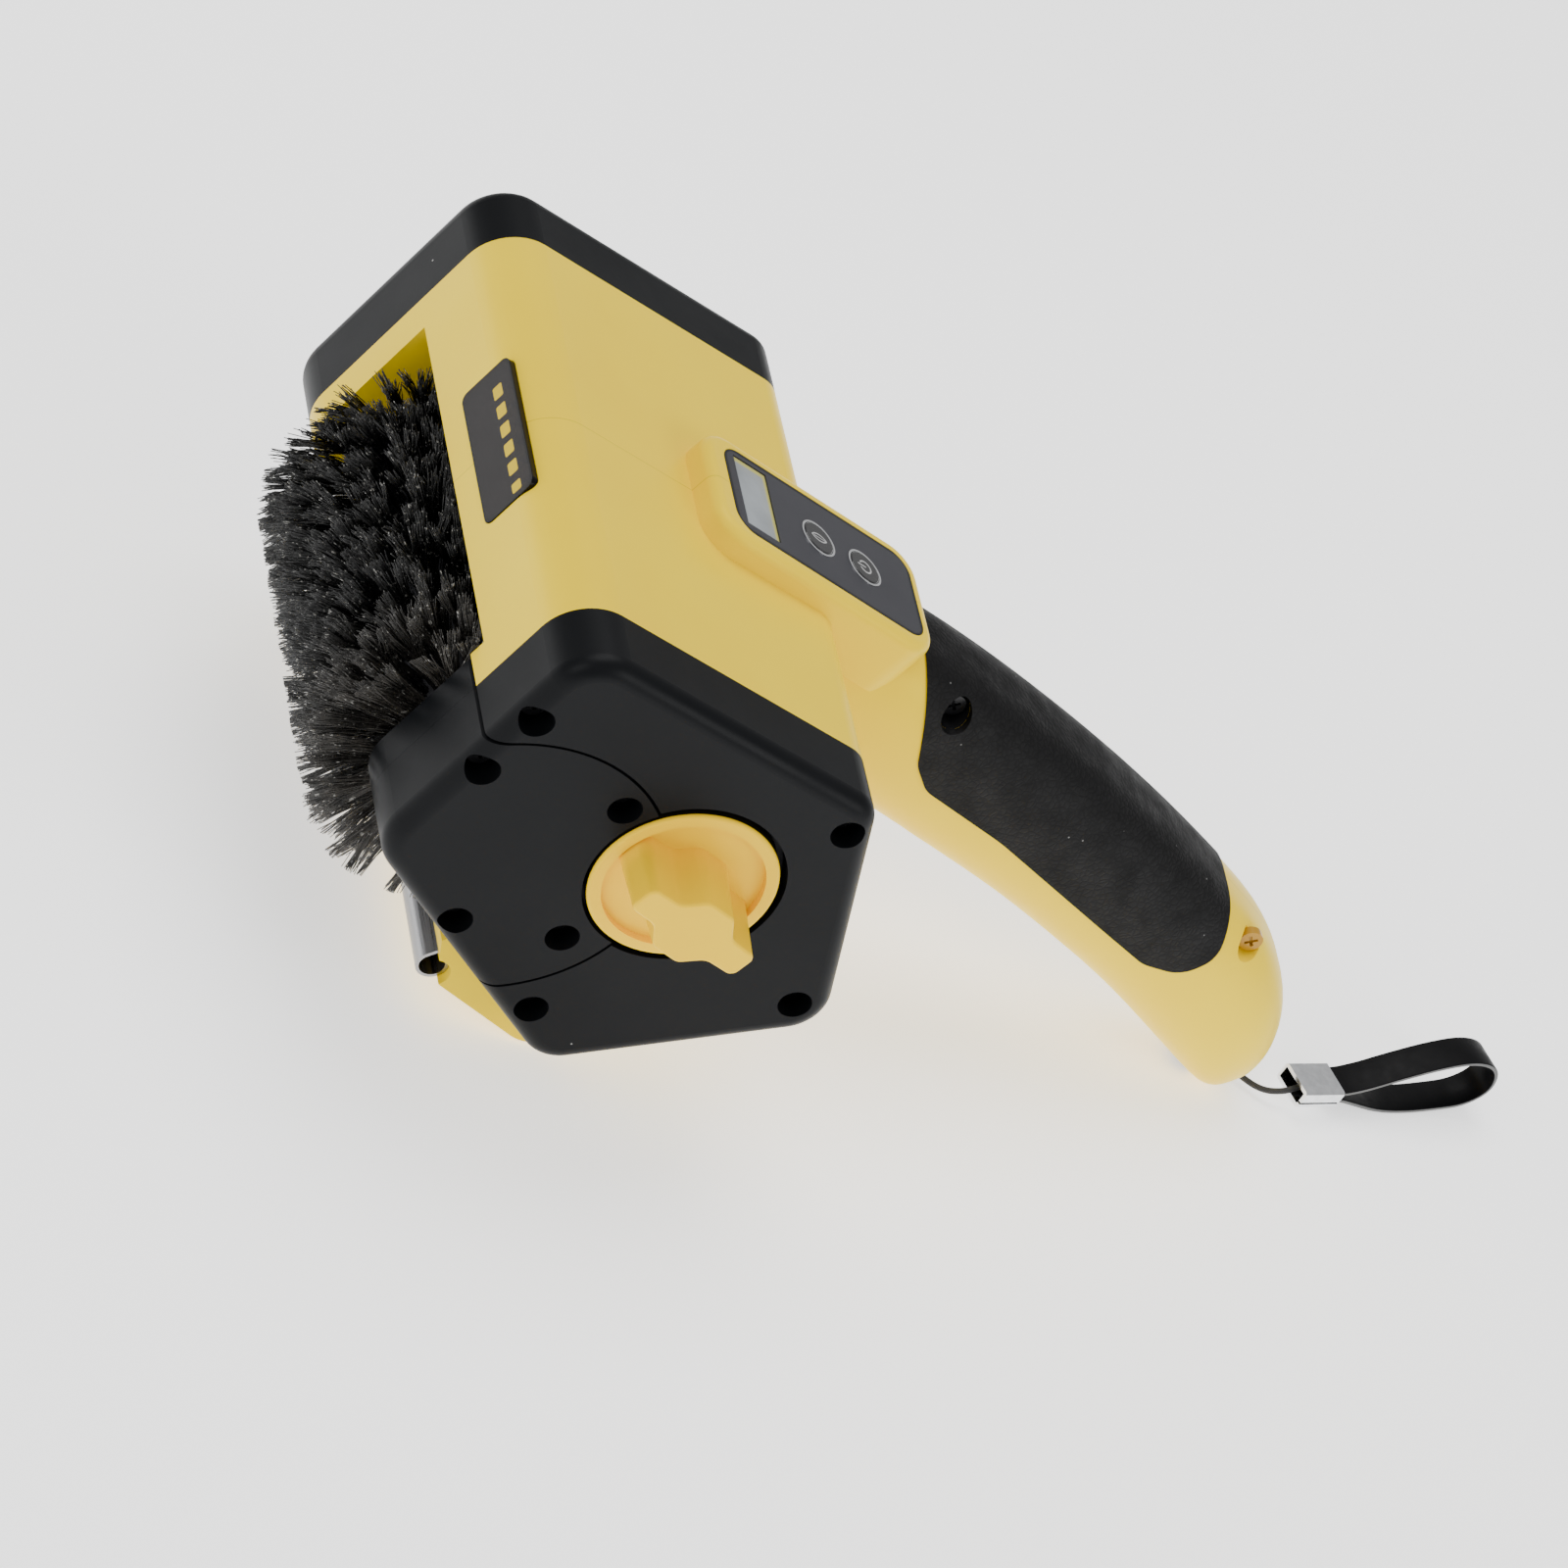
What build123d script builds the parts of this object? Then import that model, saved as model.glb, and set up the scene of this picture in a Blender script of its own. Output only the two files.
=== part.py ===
from build123d import *
import math
import os

# Cordless handheld roller brush with a debris bin.
# Design frame: X and Z span the side profile, Y runs along the roller from the
# near end cap's face to the far end cap's face, and the release knob's axis is X = Z = 0.
# The last step tilts the tool into its resting attitude and puts the origin
# at the bottom centre of the rigid tool.  All sizes are in millimetres.

# ---------------------------------------------------------------- dimensions
CAP_DEPTH = 18.7
WIDTH = 162.2
FAR_CAP = WIDTH - CAP_DEPTH
MID = WIDTH / 2
WALL = 2.6
TILT = 36.7

HEAD = [(-10.6, 76.5), (45.7, 9.8), (26.6, -55.8), (-39.4, -49.6), (-65.9, 29.4)]
HEAD_R = [12.5, 9.0, 11.0, 10.0, 13.0]
LIP = [(-41.6, -62.3), (-58.6, -35.8), (-52.5, -10.5)]
CAP_EDGE_R = 4.5

AXIS_X, AXIS_Z = -39.5, 16.5
BRISTLE_R = 40.0
BRISTLE_ROWS = 24
ROW_THICKNESS = 1.4
BAY_R = 45.3
BAY_NEAR, BAY_FAR = 28.8, 134.3
BAY_WALL = 2.4
PORT_R = 37.3
SEAM = 0.7

KNOB_R = 21.8
KNOB_RECESS_R = 22.8
KNOB_TOP = -15.3
KNOB_GRIP_ANGLE = -55.0

RECESS_R = 4.0
RECESS_DEPTH = 8.0
CAP_SCREWS = [(-25.1, 58.1), (37.8, 5.5), (20.2, -45.4), (-38.5, -30.3)]
COVER_SCREWS = [(-38.6, 46.7), (-9.8, 26.5), (-51.1, 2.5), (-28.6, -9.4)]

HANDLE_HALF_WIDTH = 18.5
HANDLE_STATIONS = [
    ((52.0, 2.4), (15.0, -28.0), 18.5),
    ((66.0, -14.2), (30.0, -42.0), 18.5),
    ((76.5, -27.5), (41.8, -54.5), 18.5),
    ((90.3, -46.8), (55.5, -72.6), 18.5),
    ((108.4, -75.0), (72.8, -96.2), 18.5),
    ((121.2, -97.3), (86.0, -117.0), 18.4),
    ((132.2, -118.6), (97.2, -136.6), 18.2),
    ((140.6, -139.0), (106.6, -156.2), 17.6),
    ((142.4, -156.5), (112.8, -169.8), 16.2),
    ((139.2, -170.2), (116.4, -177.6), 13.4),
    ((133.6, -179.6), (119.4, -182.4), 9.2),
    ((128.8, -183.9), (122.6, -184.4), 4.6),
]
GRIP_OUTLINE = [
    (72.0, -4.0), (66.9, -12.0), (63.5, -26.0), (59.8, -41.0), (60.9, -49.5), (76.9, -71.7),
    (98.3, -108.1), (107.0, -122.6), (115.6, -128.8), (125.2, -126.6), (131.4, -116.6),
    (133.4, -104.0), (150.0, -96.0), (150.0, -40.0), (105.0, -4.0),
]
GRIP_OUTLINE_R = [2.0, 8.0, 20.0, 9.0, 8.0, 60.0, 30.0, 9.0, 9.0, 9.0, 9.0, 9.0, 4.0, 4.0, 4.0]
HANDLE_SCREWS = [(70.6, -30.5), (134.6, -129.5)]

BOSS_ORIGIN = (28.1, 41.2)
BOSS_ANGLE = 51.4
PANEL_LENGTH = 61.0
PANEL_WIDTH = 28.0

WINDOW_START, WINDOW_END = 50.0, 66.0
WINDOW_NEAR, WINDOW_FAR = 60.0, 103.0

TUBE_X, TUBE_Z = -58.8, -32.3
TUBE_R = 3.85
SHEET_T = 0.8
SHEET_ANGLE = 11.2
SHEET_NEAR, SHEET_FAR = 21.2, 133.6

MOTOR_X, MOTOR_Z = 19.0, -12.0
MOTOR_PULLEY_R = 5.1
ROLLER_PULLEY_R = 15.3
BELT_T = 1.6
CELL_R = 9.15
CELL_L = 65.0
CELL_ENDS = [((66.5, -40.5), -57.0), ((104.5, -102.0), -65.0)]

UPRIGHT = (Align.CENTER, Align.CENTER, Align.MIN)
parts = {}


# ------------------------------------------------------------------- helpers
def rounded_face(points, radii, inset=0.0):
    """Closed polygon face with its own radius on each corner, moved inward by inset."""
    count = len(points)
    corners = [Vector(x, z) for x, z in points]
    area = sum(corners[i].X * corners[(i + 1) % count].Y - corners[(i + 1) % count].X * corners[i].Y
               for i in range(count))
    side = 1 if area > 0 else -1
    starts, ways = [], []
    for i in range(count):
        way = (corners[(i + 1) % count] - corners[i]).normalized()
        starts.append(corners[i] + Vector(-way.Y, way.X) * (side * inset))
        ways.append(way)
    arcs = []
    for i in range(count):
        p, d_in = starts[i - 1], ways[i - 1]
        q, d_out = starts[i], ways[i]
        cross = d_in.X * d_out.Y - d_in.Y * d_out.X
        gap = q - p
        corner = p + d_in * ((gap.X * d_out.Y - gap.Y * d_out.X) / cross)
        convex = cross * side > 0
        radius = max(radii[i] - inset, 0.6) if convex else radii[i] + inset
        turn = math.acos(max(-1.0, min(1.0, d_in.dot(d_out))))
        reach = radius * math.tan(turn / 2)
        centre = corner + (d_out - d_in).normalized() * (radius / math.cos(turn / 2))
        middle = centre + (corner - centre).normalized() * radius
        arcs.append((corner - d_in * reach, middle, corner + d_out * reach))
    edges = []
    for i in range(count):
        edges.append(ThreePointArc(*arcs[i]))
        edges.append(Line(arcs[i][2], arcs[(i + 1) % count][0]))
    return make_face(edges)


def side_plane(y):
    """Sketch plane whose local x and y are the design X and Z, at the given Y."""
    return Plane(origin=(0, y, 0), x_dir=(1, 0, 0), z_dir=(0, -1, 0))


def prism(face, y0, y1):
    return extrude(side_plane(y1) * face, amount=y1 - y0)


def polygon_prism(points, y0, y1, radius=0.6):
    return prism(rounded_face(points, [radius] * len(points)), y0, y1)


def rod(x, z, radius, y0, y1):
    return Pos(x, y0, z) * Rot(-90, 0, 0) * Cylinder(radius, y1 - y0, align=UPRIGHT)


def tube(x, z, outer, inner, y0, y1):
    return rod(x, z, outer, y0, y1) - rod(x, z, inner, y0 - 1, y1 + 1)


def along(start, way, distance, normal=None, height=0.0):
    x = start[0] + way[0] * distance
    z = start[1] + way[1] * distance
    if normal:
        x += normal[0] * height
        z += normal[1] * height
    return (x, z)


def superellipse(half_long, half_wide, power=2.7, count=20):
    points = []
    for i in range(count):
        t = 2 * math.pi * i / count
        c, s = math.cos(t), math.sin(t)
        points.append((math.copysign(abs(c) ** (2 / power), c) * half_long,
                       math.copysign(abs(s) ** (2 / power), s) * half_wide))
    return make_face(Spline(*points, periodic=True))


def handle_solid(grow):
    """Curved handle, every section grown by the given amount."""
    sections = []
    for top, bottom, half_width in HANDLE_STATIONS:
        vx, vz = top[0] - bottom[0], top[1] - bottom[1]
        length = math.hypot(vx, vz)
        long_dir = (vx / length, 0, vz / length)
        plane = Plane(origin=((top[0] + bottom[0]) / 2, MID, (top[1] + bottom[1]) / 2),
                      x_dir=long_dir, z_dir=(-long_dir[2], 0, long_dir[0]))
        half_long = length / 2 + grow
        half_wide = half_width + grow
        if half_long > 1.0 and half_wide > 1.0:
            sections.append(plane * superellipse(half_long, half_wide))
    return loft(sections)


def boss_plane():
    a = math.radians(BOSS_ANGLE)
    return Plane(origin=(BOSS_ORIGIN[0], MID, BOSS_ORIGIN[1]), x_dir=(math.cos(a), 0, -math.sin(a)),
                 z_dir=(math.sin(a), 0, math.cos(a)))


BOSS_AXIS = Axis((0, 0, 0), (math.sin(math.radians(BOSS_ANGLE)), 0, math.cos(math.radians(BOSS_ANGLE))))


def boss_prism(face, h0, h1):
    """Extrude a face drawn on the display plane between two heights over that plane."""
    plane = boss_plane()
    return extrude(plane.offset(h0) * face, amount=h1 - h0)


def boss_rectangle(x0, x1, width, radius):
    return Pos((x0 + x1) / 2, 0) * RectangleRounded(x1 - x0, width, radius)


def window_plane():
    ex = (HEAD[0][0] - HEAD[4][0], HEAD[0][1] - HEAD[4][1])
    length = math.hypot(*ex)
    return Plane(origin=(HEAD[4][0], 0, HEAD[4][1]), x_dir=(ex[0] / length, 0, ex[1] / length),
                 z_dir=(-ex[1] / length, 0, ex[0] / length))


def window_prism(face, h0, h1):
    plane = window_plane()
    return extrude(plane.offset(h0) * face, amount=h1 - h0)


def half_space(near):
    size = 800
    y = MID - size / 2 if near else MID + size / 2
    return Pos(0, y, 0) * Box(size, size, size)


# ------------------------------------------------------- shared head profiles
head_outline = rounded_face(HEAD, HEAD_R)
yellow_points = HEAD[:3] + LIP + [HEAD[4]]
yellow_outline = rounded_face(yellow_points, [12.5, 9.0, 11.0, 9.0, 3.0, 6.0, 13.0])
head_inner = rounded_face(HEAD, HEAD_R, WALL)

ea = window_plane()
EA_WAY = (ea.x_dir.X, ea.x_dir.Z)
EA_OUT = (ea.z_dir.X, ea.z_dir.Z)
DE_WAY = (0.318, -0.948)
DE_OUT = (-0.948, -0.318)
corner_e = HEAD[4]

port_top = along(corner_e, EA_WAY, 34.6)
port_low = (-49.3, -19.8)


def port_shape(grow, y0, y1):
    """Service port at the near end: brush circle, front corner and knob circle."""
    wedge = polygon_prism([
        along(along(port_top, EA_OUT, 12.0), EA_WAY, grow), along(port_top, EA_WAY, grow),
        (AXIS_X + grow, AXIS_Z - grow), along(port_low, DE_WAY, grow),
        along(along(port_low, DE_OUT, 20.0), DE_WAY, grow), (-100.0, 0.0), (-100.0, 60.0)], y0, y1, 0.3)
    return rod(AXIS_X, AXIS_Z, PORT_R + grow, y0, y1) + wedge


def knob_circle(grow, y0, y1):
    return rod(0, 0, KNOB_RECESS_R + grow, y0, y1)


# ----------------------------------------------------------- near end pieces
def cap_block(y_face, y_back, outline):
    """Solid end cap with a rounded outer rim on the face side."""
    y0, y1 = min(y_face, y_back), max(y_face, y_back)
    block = prism(outline, y0, y1)
    rim = block.faces().sort_by(Axis.Y)[0 if y_face < y_back else -1].edges()
    return fillet(rim, CAP_EDGE_R)


near_block = cap_block(0, CAP_DEPTH, head_outline)
near_hollow = prism(rounded_face(HEAD, HEAD_R, WALL), 3.0, CAP_DEPTH + 1)


def recessed_posts(centres, y_face, y_end, region=None):
    """Screw posts that start at a face; the screw recess is cut separately."""
    posts = None
    for x, z in centres:
        post = rod(x, z, RECESS_R + 2.0, y_face, y_end)
        posts = post if posts is None else posts + post
    return posts & region if region else posts


def recess_cuts(centres, y_face, step, y_through):
    """Counterbored recess for each screw, cut inward from a face."""
    cuts = None
    for x, z in centres:
        y_floor = y_face + step * RECESS_DEPTH
        cut = rod(x, z, RECESS_R, min(y_face - step, y_floor), max(y_face - step, y_floor))
        cut += rod(x, z, 1.65, min(y_face, y_through), max(y_face, y_through))
        cuts = cut if cuts is None else cuts + cut
    return cuts


cap_shell = near_block - near_hollow
cap_shell += recessed_posts(CAP_SCREWS, 1.0, CAP_DEPTH - 0.05, near_block)
collar = (port_shape(SEAM + 1.9, 2.0, CAP_DEPTH - 0.05) + knob_circle(SEAM + 1.9, 2.0, 7.0)) & near_block
cap_shell += collar
end_cap = cap_shell - port_shape(SEAM, -1, CAP_DEPTH + 1) - knob_circle(SEAM, -1, 12.5)
end_cap -= rod(0, 0, 27.6, 8.6, 12.2) + rod(0, 0, 9.0, -1, CAP_DEPTH + 1)
end_cap -= recess_cuts(CAP_SCREWS, 0, 1, CAP_DEPTH + 1)
parts["end_cap_near"] = end_cap

# Roller cover: the part of the cap inside the port, with the knob's seat
cover_skin = near_block - prism(head_inner, 3.0, CAP_DEPTH + 1)
cover_rim = tube(AXIS_X, AXIS_Z, PORT_R, PORT_R - 2.4, 2.0, CAP_DEPTH)
cover = (cover_skin & port_shape(0, -1, CAP_DEPTH)) + (cover_rim & near_block)
cover += recessed_posts(COVER_SCREWS, 1.0, CAP_DEPTH, near_block)
cover -= knob_circle(0, -1, 30)
knob_seat = rod(0, 0, KNOB_RECESS_R + 0.4, 4.8, 7.4) + rod(0, 0, 6.0, 4.8, 8.6)
seat_bridge = (near_block & knob_circle(6.0, 3.0, 7.4) & port_shape(-0.2, 0, 20)) - knob_circle(0, -1, 4.8)
cover += knob_seat + seat_bridge
cover -= rod(0, 0, 3.05, -1, 30)
cover -= tube(0, 0, 28.6, 6.4, 8.7, 12.4) & knob_circle(6.0, 0, 30)
cover -= recess_cuts(COVER_SCREWS, 0, 1, CAP_DEPTH + 1)
parts["roller_cover"] = cover

# Carrier behind the cover: bearing plate, rim and posts
carrier_block = prism(head_outline, CAP_DEPTH + 0.05, 27.8) & port_shape(0, 0, 40)
carrier_hollow = prism(head_inner, CAP_DEPTH - 1, 25.2) & port_shape(-2.4, 0, 40)
carrier = carrier_block - carrier_hollow
carrier += rod(AXIS_X, AXIS_Z, 11.0, CAP_DEPTH + 0.05, 27.8)
for sx, sz in COVER_SCREWS:
    carrier += rod(sx, sz, 4.2, CAP_DEPTH + 0.05, 27.8) & carrier_block
    carrier -= rod(sx, sz, 1.55, CAP_DEPTH - 1, 26.0)
carrier -= rod(AXIS_X, AXIS_Z, 8.52, CAP_DEPTH - 1, 25.4)
carrier -= rod(AXIS_X, AXIS_Z, 4.6, CAP_DEPTH - 1, 40)
parts["roller_end_carrier"] = carrier


def bearing(x, z, y0, y1, outer, inner):
    """Plain sealed ball bearing drawn as one ring with shallow seal grooves."""
    ring = tube(x, z, outer, inner, y0, y1)
    groove = tube(x, z, outer - 1.4, inner + 1.4, y0 - 1, y0 + 0.4)
    groove += tube(x, z, outer - 1.4, inner + 1.4, y1 - 0.4, y1 + 1)
    return ring - groove


parts["roller_bearing_near"] = bearing(AXIS_X, AXIS_Z, 19.3, 25.3, 8.5, 3.04)


def screws(centres, y_head, step, length):
    """Cross-recess pan-head screws: head against the recess floor, shank into the post."""
    solids = []
    for x, z in centres:
        y_top = y_head - step * 2.2
        head = rod(x, z, 3.0, min(y_top, y_head), max(y_top, y_head))
        cross = Pos(x, y_top, z) * (Box(3.4, 2.0, 0.8) + Box(0.8, 2.0, 3.4))
        shank = rod(x, z, 1.5, min(y_head, y_head + step * length), max(y_head, y_head + step * length))
        solids.append(head + shank - cross)
    return Compound(children=solids)


parts["cover_screws"] = screws(COVER_SCREWS, RECESS_DEPTH, 1, 17.2)
parts["cap_screws_near"] = screws(CAP_SCREWS, RECESS_DEPTH, 1, 22.0)
parts["cap_screws_far"] = screws(CAP_SCREWS, WIDTH - RECESS_DEPTH, -1, 22.0)

# ----------------------------------------------------------------- knob
knob = rod(0, 0, KNOB_R, -0.6, 4.4)
knob = fillet(knob.edges().group_by(Axis.Y)[0], 0.9)
knob -= Pos(0, -0.7, 0) * (tube(0, 0, 18.6, 0.001, 0, 2.2))
grip_face = Rot(0, 0, KNOB_GRIP_ANGLE) * rounded_face(
    [(-17.9, -4.6), (-9.0, -4.9), (-4.4, -9.6), (4.4, -9.6), (9.0, -4.9), (17.9, -4.6),
     (17.9, 4.6), (9.0, 4.9), (4.4, 9.6), (-4.4, 9.6), (-9.0, 4.9), (-17.9, 4.6)],
    [3.0, 3.0, 4.0, 4.0, 3.0, 3.0, 3.0, 3.0, 4.0, 4.0, 3.0, 3.0])
grip = extrude(side_plane(1.6) * grip_face, amount=1.6 - KNOB_TOP, taper=3.0)
grip = fillet(grip.faces().sort_by(Axis.Y)[0].edges(), 0.7)
knob += grip
knob += rod(0, 0, 3.0, 4.0, 12.4)
knob -= rod(0, 0, 1.25, 4.6, 13)
parts["release_knob"] = knob

lobe_dir = math.degrees(math.atan2(AXIS_Z, AXIS_X)) + 36
cam = rod(0, 0, 6.2, 9.0, 11.6) + Rot(0, -lobe_dir, 0) * (Pos(13.2, 10.3, 0) * Box(26.4, 2.6, 7.0) & rod(0, 0, 27.0, 0, 20))
cam -= rod(0, 0, 3.02, 0, 20)
parts["knob_cam"] = cam
washer = tube(0, 0, 4.6, 1.3, 12.45, 13.25)
screw = rod(0, 0, 2.4, 13.3, 14.9) + rod(0, 0, 1.2, 5.4, 13.4)
screw -= Pos(0, 15.2, 0) * (Box(2.8, 1.8, 0.7) + Box(0.7, 1.8, 2.8))
parts["knob_washer"] = washer
parts["knob_screw"] = screw

# --------------------------------------------------------------- roller
core = tube(AXIS_X, AXIS_Z, 16.0, 3.0, 30.4, 132.8)
core = core - prism(Pos(AXIS_X, AXIS_Z) * RegularPolygon(5.3, 6), 124.0, 140.0)
parts["roller_core"] = core

# Each row of tufts is one thin blade on a sleeve round the core
bristles = tube(AXIS_X, AXIS_Z, 17.2, 16.02, 29.2, 133.0)
for i in range(BRISTLE_ROWS):
    turn = Pos(AXIS_X, 29.2, AXIS_Z) * Rot(0, TILT + 360 * i / BRISTLE_ROWS, 0)
    blade = Box(BRISTLE_R - 16.8, 103.8, ROW_THICKNESS, align=(Align.MIN, Align.MIN, Align.CENTER))
    bristles += turn * Pos(16.8, 0, 0) * blade
parts["roller_bristles"] = bristles
parts["roller_axle"] = rod(AXIS_X, AXIS_Z, 2.99, 18.9, 122.0)

# --------------------------------------------------------------- drive
dog = prism(Pos(AXIS_X, AXIS_Z) * RegularPolygon(5.05, 6), 125.0, 133.6)
dog += rod(AXIS_X, AXIS_Z, 5.6, 133.5, 136.0) + rod(AXIS_X, AXIS_Z, 2.98, 135.5, 156.4)
parts["drive_dog"] = dog
parts["roller_bearing_far"] = bearing(AXIS_X, AXIS_Z, 136.8, 142.8, 8.5, 3.04)


def pulley(x, z, radius, bore, y0, y1):
    wheel = rod(x, z, radius, y0, y1) + rod(x, z, radius + 2.2, y0, y0 + 1.0)
    wheel += rod(x, z, radius + 2.2, y1 - 1.0, y1)
    if radius > 12:
        for side, y in ((0, y0 - 1), (1, y1 - 2.4)):
            wheel -= tube(x, z, radius - 3.0, bore + 4.0, y, y + 3.4)
        for i in range(5):
            t = 2 * math.pi * i / 5
            wheel -= rod(x + 9.6 * math.cos(t), z + 9.6 * math.sin(t), 2.2, y0 - 1, y1 + 1)
    return wheel - rod(x, z, bore, y0 - 1, y1 + 1)


parts["roller_pulley"] = pulley(AXIS_X, AXIS_Z, ROLLER_PULLEY_R, 3.0, 146.4, 156.0)
parts["motor_pulley"] = pulley(MOTOR_X, MOTOR_Z, MOTOR_PULLEY_R, 1.6, 146.4, 156.0)


def belt_hull(r1, r2, y0, y1):
    """Outer tangent loop around the two pulleys."""
    dx, dz = MOTOR_X - AXIS_X, MOTOR_Z - AXIS_Z
    span = math.hypot(dx, dz)
    heading = math.atan2(dz, dx)
    half = math.acos((r1 - r2) / span)
    corners = []
    for sign in (1, -1):
        t = heading + sign * half
        corners.append((AXIS_X + r1 * math.cos(t), AXIS_Z + r1 * math.sin(t)))
        corners.append((MOTOR_X + r2 * math.cos(t), MOTOR_Z + r2 * math.sin(t)))
    back = (AXIS_X - r1 * math.cos(heading), AXIS_Z - r1 * math.sin(heading))
    front = (MOTOR_X + r2 * math.cos(heading), MOTOR_Z + r2 * math.sin(heading))
    loop = [Line(corners[0], corners[1]), ThreePointArc(corners[1], front, corners[3]),
            Line(corners[3], corners[2]), ThreePointArc(corners[2], back, corners[0])]
    return prism(make_face(loop), y0, y1)


parts["drive_belt"] = (belt_hull(ROLLER_PULLEY_R + 0.08 + BELT_T, MOTOR_PULLEY_R + 0.08 + BELT_T, 147.9, 154.5)
                       - belt_hull(ROLLER_PULLEY_R + 0.08, MOTOR_PULLEY_R + 0.08, 140, 160))

motor = rod(MOTOR_X, MOTOR_Z, 15.0, 76.0, 131.0)
motor = fillet(motor.edges(), 1.2)
motor += rod(MOTOR_X, MOTOR_Z, 5.0, 74.0, 77.0) + rod(MOTOR_X, MOTOR_Z, 5.0, 130.5, 132.6)
motor -= rod(MOTOR_X, MOTOR_Z, 1.65, 70, 140)
motor -= rod(MOTOR_X, MOTOR_Z, 4.0, 90.0, 120.0)
MOTOR_SCREWS = [(MOTOR_X - 9.5, MOTOR_Z), (MOTOR_X + 9.5, MOTOR_Z)]
for mx, mz in MOTOR_SCREWS:
    motor -= rod(mx, mz, 1.55, 124.0, 132.0)
parts["motor"] = motor
parts["motor_shaft"] = rod(MOTOR_X, MOTOR_Z, 1.59, 73.0, 157.0) + rod(MOTOR_X, MOTOR_Z, 3.8, 91.0, 119.0)
bracket = rod(MOTOR_X, MOTOR_Z, 15.2, 131.1, 133.1)
bracket -= rod(MOTOR_X, MOTOR_Z, 5.1, 120, 140)
for mx, mz in MOTOR_SCREWS:
    bracket -= rod(mx, mz, 1.6, 120, 140)
parts["motor_bracket"] = bracket
parts["motor_screws"] = screws(MOTOR_SCREWS, 133.1, -1, 8.0)

# --------------------------------------------------------------- housing
shell = prism(yellow_outline, CAP_DEPTH, FAR_CAP)
handle_outer = handle_solid(0.0)
boss_height = 17.0
boss = boss_prism(boss_rectangle(-5.5, PANEL_LENGTH + 3.6, PANEL_WIDTH + 7.6, 8.5), -boss_height, 0)
boss = fillet(boss.faces().sort_by(BOSS_AXIS)[-1].edges(), 2.6)
body = shell + handle_outer + boss

inner = rounded_face(HEAD[:3] + [(-39.4, -49.6), (-65.9, 29.4)], HEAD_R, WALL)
cavity = prism(inner, CAP_DEPTH - 1, FAR_CAP + 1)
bay_ring = rod(AXIS_X, AXIS_Z, BAY_R + BAY_WALL, 26.4, BAY_FAR + BAY_WALL)
bin_points = [(-30.5, -14.0), (-33.0, -47.0), (-6.0, -49.6), (-4.0, -6.0)]
bin_outer = prism(rounded_face(bin_points, [3.0] * 4, -BAY_WALL), 26.4, BAY_FAR + BAY_WALL)
port_collar = port_shape(SEAM + 2.2, CAP_DEPTH, 28.8)
bay_block = (bay_ring + bin_outer + port_collar) & shell
posts = None
for px, pz in CAP_SCREWS:
    for y0, y1 in ((CAP_DEPTH, CAP_DEPTH + 16), (FAR_CAP - 16, FAR_CAP)):
        post = rod(px, pz, 4.4, y0, y1)
        posts = post if posts is None else posts + post
rib = polygon_prism([(21.0, -44.6), (19.4, -46.2), (22.4, -54.4), (25.2, -52.0)], CAP_DEPTH, FAR_CAP)
handle_cavity = handle_solid(-WALL) - boss_prism(boss_rectangle(-60, 62, 200, 2), -5.0, 60)
electronics = boss_prism(boss_rectangle(1.5, PANEL_LENGTH - 1.5, PANEL_WIDTH - 3.0, 1.2), -15.0, 1)
body = body - cavity - handle_cavity
saddle = tube(MOTOR_X, MOTOR_Z, 17.4, 15.06, 84.0, 87.0) + tube(MOTOR_X, MOTOR_Z, 17.4, 15.06, 118.0, 121.0)
saddle += rod(MOTOR_X, MOTOR_Z, 17.4, 131.0, 133.2) - rod(MOTOR_X, MOTOR_Z, 15.3, 130.0, 134.0)
body += bay_block + posts + (rib & shell) + (saddle & shell)
body -= electronics

# Brush bay, opening and bin
wedge_top = along(corner_e, EA_WAY, 43.0)
opening = polygon_prism([
    along(wedge_top, EA_OUT, 6.0), along(wedge_top, EA_OUT, -4.0), (AXIS_X, AXIS_Z), (-42.0, -22.0),
    (-62.0, -29.0), (-95.0, -30.0), (-110.0, 60.0)], BAY_NEAR, BAY_FAR, 0.5)
bay_cut = (rod(AXIS_X, AXIS_Z, BAY_R, BAY_NEAR, BAY_FAR) & prism(head_inner, 0, 200)) + opening
bay_cut += rod(AXIS_X, AXIS_Z, BRISTLE_R + 0.6, BAY_NEAR, BAY_FAR)
sheet_way = (math.cos(math.radians(SHEET_ANGLE)), math.sin(math.radians(SHEET_ANGLE)))
sheet_out = (-sheet_way[1], sheet_way[0])
tangent = along((TUBE_X, TUBE_Z), sheet_out, TUBE_R)
shelf = [along(tangent, sheet_way, 27.0, sheet_out, -SHEET_T - 0.05),
         along(tangent, sheet_way, 27.0, sheet_out, -60.0), along(tangent, sheet_way, -40.0, sheet_out, -60.0),
         along(tangent, sheet_way, -40.0, sheet_out, -SHEET_T - 0.05)]
below_shelf = polygon_prism(shelf, 0, 200, 0.3)
bay_cut = bay_cut - below_shelf
bay_cut += prism(rounded_face(bin_points, [3.0] * 4), BAY_NEAR, BAY_FAR)
body -= bay_cut
body -= port_shape(SEAM, CAP_DEPTH - 1, BAY_NEAR + 0.5)

# Room for the scraper sheet and its rolled edge in front of the lip
slot = [along(tangent, sheet_way, -3.0, sheet_out, 0.3), along(tangent, sheet_way, 26.7, sheet_out, 0.3),
        along(tangent, sheet_way, 26.7, sheet_out, -SHEET_T - 0.2),
        along(tangent, sheet_way, -3.0, sheet_out, -SHEET_T - 0.2)]
body -= prism(make_face(Polyline(*slot, close=True)), SHEET_NEAR - 0.1, SHEET_FAR + 0.1)
body -= rod(TUBE_X, TUBE_Z, TUBE_R + 0.15, SHEET_NEAR - 10, SHEET_FAR + 0.4)

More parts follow.
